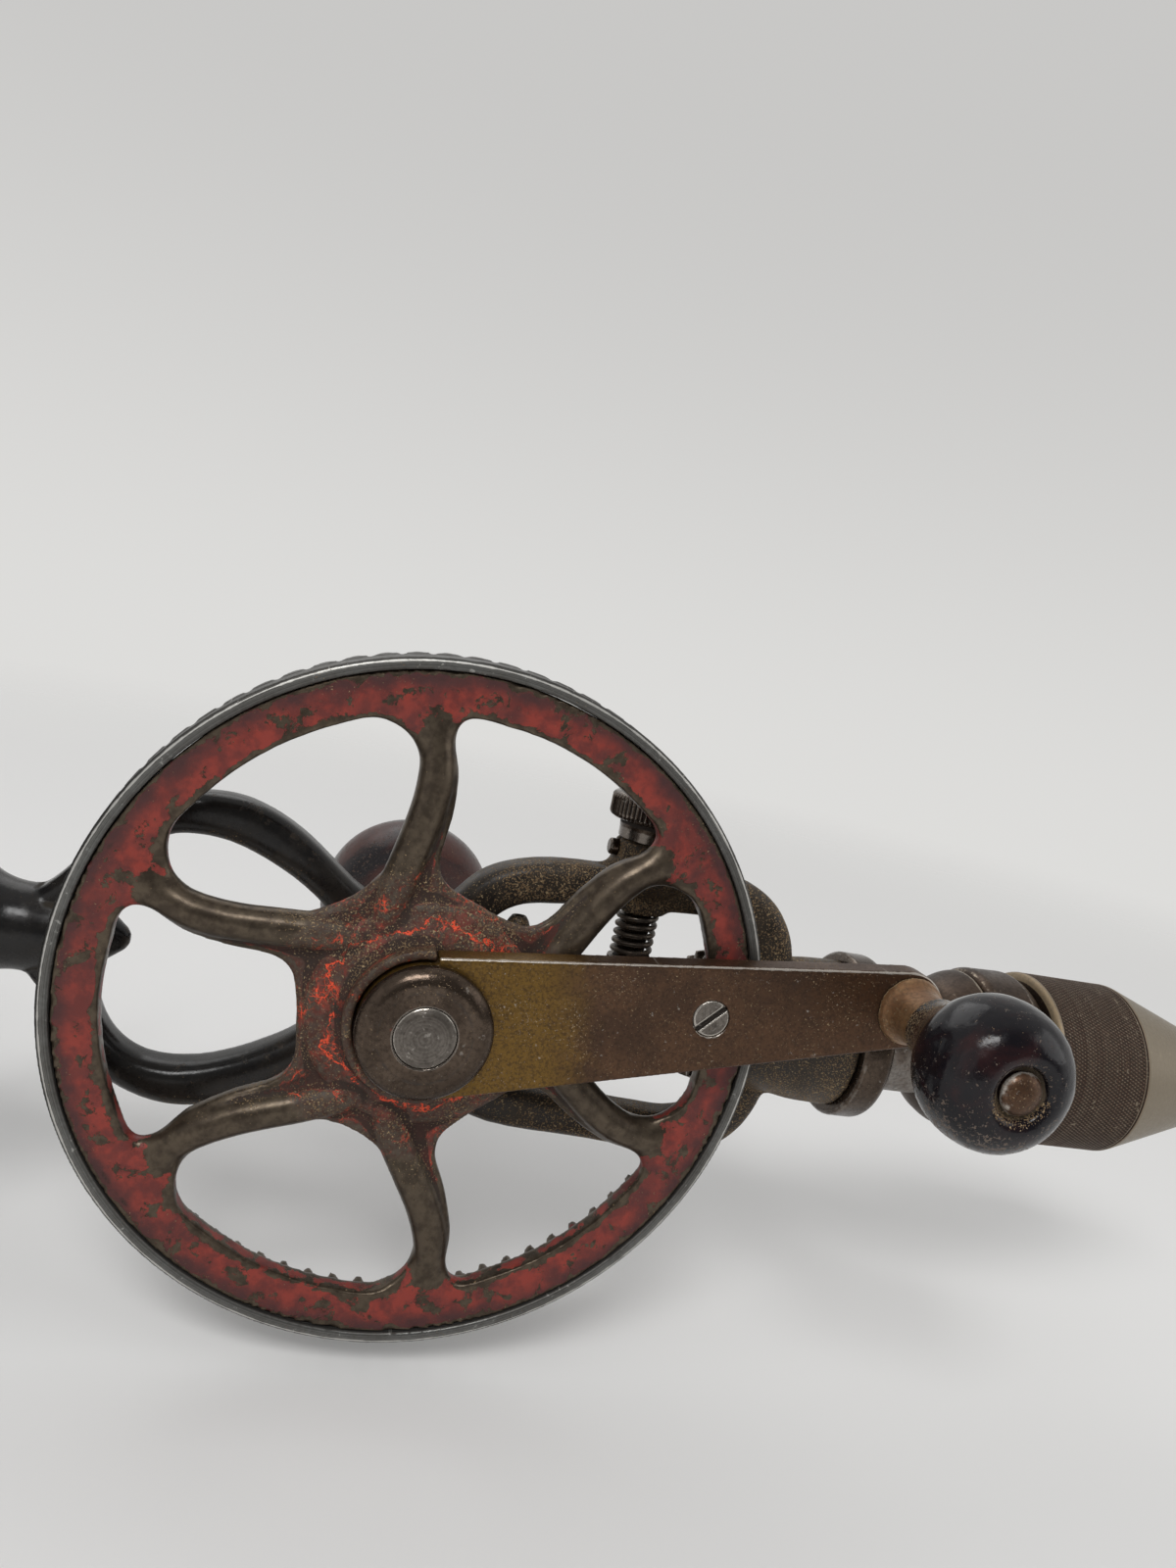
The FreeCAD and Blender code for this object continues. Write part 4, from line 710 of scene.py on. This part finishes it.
def splitWheel():
    front, back = wheel["toolFront"] * mm, wheel["toolBack"] * mm
    clearSelection()
    bpy.ops.mesh.primitive_cylinder_add(vertices=256, radius=wheel["groove"] * mm, depth=back - front,
                                        location=(axle.x, (front + back) / 2, 0), rotation=(math.pi / 2, 0, 0))
    tool = bpy.context.object
    parts = []
    for name, operation in (("wheelWeb", "INTERSECT"), ("wheelRim", "DIFFERENCE")):
        part = solidCopy("drive_wheel", name)
        applyModifier(part, "BOOLEAN", operation=operation, object=tool, solver="EXACT")
        mergePoints(part)
        parts.append(part)
    bpy.data.objects.remove(tool)
    return parts


web, rim = splitWheel()

# The ends of the spokes melt into the ring
remeshed(web, wheel["webVoxel"] * mm, relax=5)
points = readPoints(web)
radii = axleDistance(points)
melt = ramp(ribDistance(points), *wheel["ribMelts"]) * ramp(radii, *wheel["meltBegins"])
melt = 0.95 * averaged(web, melt * ramp(radii, *wheel["meltEnds"]), 8)
writePoints(web, points + melt * (averaged(web, points, 70) - points))
uneven(web, 0.14 * mm, 5 * mm)
markEdges(web, rounds=14, reach=0.14 * mm)

# Where its paint is worn off, cracked, stained, vivid or dusty, and where shade is painted by the rim
points = readPoints(web)
radii = axleDistance(points)
spokes = ramp(ribDistance(points), *wheel["ribIsBare"])
spokes *= ramp(radii, *wheel["bareBegins"]) * ramp(radii, *wheel["bareEnds"])
writeValues(web, "spoke", spokes)
writeValues(web, "hub", ramp(radii, *wheel["crustedHub"]))
# painted shade and some grime on the paint next to the rim
writeValues(web, "outer", ramp(radii, *wheel["stainedRing"]))
sides = 4 * spokes * (1 - spokes) * np.maximum(ramp(radii, *wheel["vividSides"]), 0.1)
writeValues(web, "vivid", np.clip(sides + 0.7 * ramp(radii, *wheel["vividHub"]), 0, 1))
upwards = np.clip(readNormals(web)[:, 2], 0, 1)
writeValues(web, "dusty", np.clip(0.12 + 0.56 * ramp(radii, *wheel["dustyHub"]) + 0.3 * upwards
                                  + 0.2 * ramp(radii, *wheel["dustyRing"]), 0, 1))
smoothShading(web, 60)
settle(web, "wheel", "drive_wheel")

# The rim is bare steel: its edges aren't worn brighter, and its teeth are darker
remeshed(rim, wheel["rimVoxel"] * mm, relax=2)
markEdges(rim, rounds=6, reach=0.08 * mm)
writeValues(rim, "edge", np.minimum(readValues(rim, "edge"), 0.55))
points = readPoints(rim)
writeValues(rim, "teeth", np.maximum(ramp(axleDistance(points), *wheel["toothTips"]),
                                     ramp(points[:, 1] / mm, *wheel["toothSide"])))
smoothShading(rim, 45)
rimSteel = agedMetal(
    "rimSteel", metal=(0.105, 0.105, 0.100), patina=(0.078, 0.075, 0.069), grime=(0.040, 0.035, 0.030),
    bright=(0.52, 0.51, 0.48), metallic=0.8, smooth=0.40, rough=0.50, wear=0.0, dustAmount=0.2, lines=1.2,
    lineTone=0.22, fineness=1900.0, relief=0.06, mottle=0.3, tints=[("teeth", (0.046, 0.044, 0.041), 0.55, 1.0)],
    polishedRing=[size * mm for size in wheel["polishedRing"]])
settle(rim, "wheel", "drive_wheel", finish=rimSteel)


# Pieces that are cast, forged or turned to the shape of their solid

agedPieces = {
    # name: (node, body, voxel, rounds of smoothing, depth and grain of unevenness), lengths in mm
    "frameCasting": ("frame_casting", "frame", 0.62, 5, 0.16, 6.0),
    "breastPlate": ("breast_plate", "frame", 0.62, 6, 0.10, 12.0),
    "breastBolt": ("breast_plate_bolt", "frame", 0.26, 2, 0, 0),
    "axlePin": ("axle", "frame", 0.22, 2, 0.03, 1.5),
    "axleCollar": ("axle_collar", "frame", 0.20, 2, 0.03, 2.5),
    "sideHandleBolt": ("side_handle_bolt", "frame", 0.28, 2, 0, 0),
    "sideHandleFerrule": ("side_handle_ferrule", "frame", 0.28, 2, 0.04, 2.5),
    "sideHandle": ("side_handle", "frame", 0.40, 2, 0.12, 7.0),
    "bearingCap": ("bearing_cap", "frame", 0.30, 2, 0.05, 3.0),
    "latchGuideScrew": ("latch_guide_screw", "frame", 0.15, 1, 0, 0),
    "latchPin": ("latch_pin", "latch", 0.18, 1, 0, 0),
    "crankArm": ("crank_arm", "wheel", 0.28, 2, 0.05, 6.0),
    "crankArmScrew": ("crank_arm_screw", "wheel", 0.12, 1, 0, 0),
    "knobPin": ("knob_pin", "wheel", 0.22, 2, 0.03, 1.5),
    "knobFerrule": ("knob_ferrule", "knob", 0.20, 2, 0.05, 2.0),
    "crankKnob": ("crank_knob", "knob", 0.27, 2, 0.12, 4.0),
    "spindle": ("spindle", "spindle", 0.36, 2, 0, 0),
    "pinion": ("pinion", "spindle", 0.28, 1, 0.04, 2.0),
    "chuckBack": ("chuck_back", "spindle", 0.34, 2, 0.04, 3.0),
    "chuckRing": ("chuck_ring", "spindle", 0.32, 2, 0.04, 3.0),
}
for jaw in "123":
    agedPieces["chuckJaw" + jaw] = ("chuck_jaw_" + jaw, "jaw_" + jaw, 0.21, 1, 0, 0)
axleSteel = agedMetal(
    "axleSteel", metal=(0.150, 0.132, 0.115), patina=(0.100, 0.086, 0.074), grime=(0.036, 0.028, 0.022),
    bright=(0.42, 0.39, 0.35), metallic=0.8, smooth=0.30, rough=0.40, wear=0.1, dustAmount=0.25, lines=1.4,
    lineTone=0.12, fineness=3000.0, mottle=0.5, scratches=0.5)
made = {}
for name, (node, body, voxel, relax, depth, grain) in agedPieces.items():
    piece = remeshed(solidCopy(node, name), voxel * mm, relax)
    if depth:
        uneven(piece, depth * mm, grain * mm)
    markEdges(piece, rounds=10, reach=0.35 * voxel * mm)
    smoothShading(piece, 50)
    made[name] = piece
    settle(piece, body, node, finish=axleSteel if name in ("axlePin", "crankArmScrew") else None)

# Hidden, wound or ball-shaped pieces keep their solid's shape and only need a finish
plainPieces = {
    "breastDowel": ("breast_plate_dowel", "frame"),
    "hubWasher": ("hub_washer", "frame"),
    "rearBush": ("rear_bush", "frame"),
    "frontBush": ("front_bush", "frame"),
    "thrustRaceRear": ("thrust_race_rear", "frame"),
    "thrustRaceFront": ("thrust_race_front", "spindle"),
    "thrustBalls": ("thrust_balls", "frame"),
    "pinionPin": ("pinion_pin", "spindle"),
    "shellRing": ("shell_ring", "shell"),
    "jawCarrier": ("jaw_carrier", "carrier"),
    "latchSpring": ("latch_spring", "frame"),
}
for name, (node, body) in plainPieces.items():
    piece = solidCopy(node, name)
    smoothShading(piece, 35)
    writeValues(piece, "edge", 0.5)
    made[name] = piece
    settle(piece, body, node)
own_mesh(made["latchSpring"])

# The shell of the chuck: turned, with a slanting knurl rolled into its straight part

shell = {
    # all in mm; an outline's points are the place along the spindle and the radius
    "outline": [(-51.2, 15.05), (-31.0, 15.05), (-31.0, 15.0), (-3.4, 5.87), (-3.4, 6.87), (-3.55, 7.2),
                (-3.9, 7.37), (-31.3, 16.6), (-31.6, 16.68), (-31.9, 16.7), (-32.2, 16.45)],
    "knurlFront": -32.5,
    "rows": 60,
    "rowStep": 0.3,
    "behindKnurl": [(-50.6, 16.66), (-50.95, 16.45), (-51.15, 16.1), (-51.2, 15.6), (-51.2, 15.05)],
    "radius": 16.7,
    "columns": 600,     # four to each groove
    "depth": 0.13,
    "secondShare": 0.55,    # of the first grooves' depth
    "insideWall": 16,   # the inner wall is nearer to the spindle than this
    "darkKnurl": (-31.6, -31.9),
    "brightLip": (-50.45, -50.75),
}


def shellKnurl(piece):
    # two families of slanting grooves, the first cut deeper
    points = readPoints(piece) / mm
    steps = (shell["knurlFront"] - points[:, 0]) / shell["rowStep"]
    row = np.rint(steps).astype(int)
    column = np.rint(np.arctan2(points[:, 2], points[:, 1]) / (2 * math.pi) * shell["columns"]).astype(int)
    onKnurl = (steps > 0.5) & (steps < shell["rows"] - 0.5)
    onKnurl &= np.hypot(points[:, 1], points[:, 2]) > shell["insideWall"]
    firstWay, secondWay = (column + row) % 4, (column - row) % 4
    deep = onKnurl & (firstWay == 0)
    middle = onKnurl & ~deep & ((firstWay != 2) | (secondWay == 0))
    pressIn(piece, deep, shell["depth"], shell["radius"])
    pressIn(piece, middle, shell["secondShare"] * shell["depth"], shell["radius"])


outline = list(shell["outline"])
outline += [(shell["knurlFront"] - row * shell["rowStep"], shell["radius"]) for row in range(shell["rows"] + 1)]
chuckShell = turnedPiece("chuckShell", outline + shell["behindKnurl"], shell["columns"])
shellKnurl(chuckShell)
markEdges(chuckShell, rounds=4, reach=0.05 * mm)
places = readPoints(chuckShell)[:, 0] / mm
writeValues(chuckShell, "knurled", ramp(places, *shell["darkKnurl"]))
writeValues(chuckShell, "lip", ramp(places, *shell["brightLip"]))
smoothShading(chuckShell, 60)
settle(chuckShell, "shell", "chuck_shell")

# Head of the latch: grooves straight down its side
latchHead = {
    # all in mm; an outline's points are the height and the radius
    "outline": [(40.0, 0.0), (39.98, 1.4), (39.9, 3.0), (39.72, 4.9), (39.4, 6.6), (39.2, 7.7), (38.85, 8.5)],
    "knurlTop": 38.3,
    "knurlFoot": 35.1,
    "underside": [(34.7, 8.75), (34.4, 8.2), (34.2, 6.8), (32.6, 6.66), (31.1, 6.6), (31.1, 2.5), (30.0, 2.5),
                  (30.0, 0.0)],
    "radius": 9.0,
    "columns": 232,     # four to each groove
    "depth": 0.34,
    "shoulderShare": 0.4,   # of that depth, on both sides of a groove's bottom
    "sideBeyond": 8.7,      # points farther out than this are on the side
}
sides = [(height, latchHead["radius"]) for height in np.linspace(latchHead["knurlTop"], latchHead["knurlFoot"], 7)]
latchKnob = turnedPiece("latchKnob", latchHead["outline"] + sides + latchHead["underside"], latchHead["columns"],
                        axis="Z", place=latchCentre)
points = (readPoints(latchKnob) - np.array(latchCentre)) / mm
column = np.rint(np.arctan2(points[:, 1], points[:, 0]) / (2 * math.pi) * latchHead["columns"]).astype(int)
onSide = np.hypot(points[:, 0], points[:, 1]) > latchHead["sideBeyond"]
for chosen, share in ((column % 4 == 0, 1), (column % 2 == 1, latchHead["shoulderShare"])):
    pressIn(latchKnob, onSide & chosen, share * latchHead["depth"], latchHead["radius"], "Z", latchCentre)
markEdges(latchKnob, rounds=4, reach=0.10 * mm)
smoothShading(latchKnob, 50)
settle(latchKnob, "latch", "latch_knob")

# Values that the finishes read: worn edges of the arm with a painted highlight, traces of paint, and where dust has
# settled

marks = {
    # in mm: distance at which a mask starts and at which it is full
    "paintTraces": 5.3,             # radius of the ring of red traces on the axle's end
    "armNearHub": (34, 14),
    "frontLoop": (-200, -150),
    "underside": (-235, -205),
    "knobFace": (-45, -38),
    "recess": 4.1,                  # radius of the groove round the knob's pin
    "recessFace": -55,
    "recessFoot": (15, 12),
}
for name in ("axleCollar", "axlePin"):
    radii = axleDistance(readPoints(made[name]))
    writeValues(made[name], "traces", 0.62 * np.clip(1.5 - 2 * np.abs(radii - marks["paintTraces"]), 0, 1))

# The arm's bright edge wear is kept to its upper front edge, which faces the ceiling lamp: wear and a painted
# highlight in one
arm = made["crankArm"]
normals = readNormals(arm)
writeValues(arm, "nearHub", ramp(armFrame(readPoints(arm))[0], *marks["armNearHub"]))
# edges that face up and towards the ceiling lamp: there the wear is also a painted highlight
wearAndPaintedHighlight = np.clip(2.2 * normals[:, 2] - 0.5, 0, 1) * np.clip(-2.2 * normals[:, 1] - 0.3, 0, 1)
writeValues(arm, "edge", 0.5 + (readValues(arm, "edge") - 0.5) * (0.30 + 0.70 * wearAndPaintedHighlight))

# Dust lies on the front loop and under the rear one
for name in ("frameCasting", "breastPlate"):
    points, normals = readPoints(made[name]) / mm, readNormals(made[name])
    under = np.clip(0.3 - normals[:, 2], 0, 1) * ramp(points[:, 0], *marks["underside"])
    dusty = np.maximum(ramp(points[:, 0], *marks["frontLoop"]), 0.8 * under)
    writeValues(made[name], "dusty", np.clip(dusty, 0.02, 1))

# The knob is dusty on its back and in the groove round its pin, and pitted below
knob = made["crankKnob"]
points = readPoints(knob) / mm
fromPin = np.hypot(points[:, 0] - knobCentre.x / mm, points[:, 2] - knobCentre.z / mm)
recess = np.clip(1.6 - np.abs(fromPin - marks["recess"]), 0, 1)
recess *= (points[:, 1] < marks["recessFace"]) * ramp(points[:, 2], *marks["recessFoot"])
writeValues(knob, "dusty", np.clip(np.maximum(ramp(points[:, 1], *marks["knobFace"]), recess), 0.12, 0.95))
writeValues(knob, "pitted", np.clip(-1.4 * readNormals(knob)[:, 2] + 0.3, 0, 1))
writeValues(made["sideHandle"], "dusty", 0.15)
writeValues(made["sideHandle"], "pitted", 0.3)


# Floor, backdrop, lamps and camera

studio = {
    "floorRadius": 9,               # metres
    "floorGap": 0.3 * mm,
    "floorTone": (0.80, 0.795, 0.785),
    "floorFade": (0.30, 1.10),      # metres from the drill over which the floor turns into the backdrop
    "skyLight": 0.50,
    "roomShade": 0.20,              # how much of the backdrop's tone the room behind the camera has
    "wallTone": (0.58, 0.575, 0.565),
    "tableTone": (0.725, 0.72, 0.705),
    "lamps": {
        # name: (place seen from the axle, watts, width, depth), lengths in metres
        "ceilingPanel": ((-0.28, -0.80, 0.88), 6.8, 0.54, 0.32),
        "backPanel": ((-0.25, 0.85, 0.95), 2.6, 1.0, 0.7),
        "frontPanel": ((-0.95, -0.85, 0.35), 1.2, 0.9, 0.9),
        "sidePanel": ((1.00, -0.45, 0.45), 1.6, 0.7, 0.7),
    },
    # fitted to the outlines in the photograph; the place is in mm
    "cameraPlace": (-191.4, -185.8, 62.5),
    "cameraRight": (0.9586, -0.2001, 0.2027),
    "cameraDown": (0.1714, -0.1627, -0.9717),
    "lens": 24.95,
    "sensor": 36,
    "nearest": 10 * mm,             # the camera stands close to the drill
}

clearSelection()
bpy.ops.mesh.primitive_circle_add(vertices=96, radius=studio["floorRadius"], fill_type="NGON",
                                  location=(axle.x, 0, cadBox[0][2] - studio["floorGap"]))
floor = bpy.context.object
floor.name = "floor"
floorMaterial, desk, surface = startMaterial("paleFloor")
surface.inputs["Base Color"].default_value = (*studio["floorTone"], 1)
surface.inputs["Roughness"].default_value = 0.85
surface.inputs["Specular IOR Level"].default_value = 0.2
distance = desk.add("VectorMath", {0: desk.place()}, operation="LENGTH").outputs["Value"]
fade = desk.step(distance, *studio["floorFade"])
faded = desk.add("MixShader", {0: fade, 1: surface.outputs[0], 2: desk.add("BsdfTransparent").outputs[0]})
floorMaterial.node_tree.links.new(faded.outputs[0], floorMaterial.node_tree.nodes["Material Output"].inputs[0])
floor.data.materials.append(floorMaterial)

world = bpy.data.worlds.new("studio")
scene.world = world
world.use_nodes = True
world.node_tree.nodes.clear()
desk = NodeDesk(world.node_tree)
direction = desk.add("TexCoord").outputs["Generated"]
ways = desk.add("SeparateXYZ", {0: direction}).outputs
backdrop = desk.mix(desk.step(ways["Z"], -0.1, 0.45), studio["tableTone"], studio["wallTone"])
light = desk.add("Background", {"Color": (1, 1, 1, 1), "Strength": studio["skyLight"]})
rays = desk.add("LightPath").outputs
behind = desk.step(ways["Y"], -0.1, -0.7, 1.0, studio["roomShade"])
wall = desk.add("Background", {"Color": backdrop,
                               "Strength": desk.blendValue(rays["Is Camera Ray"], behind, 1.0)})
seen = desk.maths("MAXIMUM", rays["Is Camera Ray"], desk.maths("MAXIMUM", rays["Is Glossy Ray"],
                                                               rays["Is Transmission Ray"]))
both = desk.add("MixShader", {0: seen, 1: light.outputs[0], 2: wall.outputs[0]})
world.node_tree.links.new(both.outputs[0], desk.add("OutputWorld").inputs[0])

for name, (place, watts, width, depth) in studio["lamps"].items():
    lamp = bpy.data.lights.new(name, "AREA")
    lamp.shape = "RECTANGLE"
    lamp.energy, lamp.size, lamp.size_y = watts, width, depth
    holder = bpy.data.objects.new(name, lamp)
    scene.collection.objects.link(holder)
    holder.location = Vector(place) + axle
    holder.rotation_euler = (-Vector(place)).to_track_quat("-Z", "Y").to_euler()

camera = bpy.data.objects.new("camera", bpy.data.cameras.new("camera"))
scene.collection.objects.link(camera)
right, down = Vector(studio["cameraRight"]).normalized(), Vector(studio["cameraDown"]).normalized()
back = right.cross(-down).normalized()
turn = Matrix((right, -down, back)).transposed().to_4x4()
camera.matrix_world = Matrix.Translation(Vector(studio["cameraPlace"]) * mm) @ turn
camera.data.lens = studio["lens"]
camera.data.sensor_width = studio["sensor"]
camera.data.clip_start = studio["nearest"]
scene.camera = camera
scene.view_settings.view_transform = "Standard"
print("drill: studio ready")
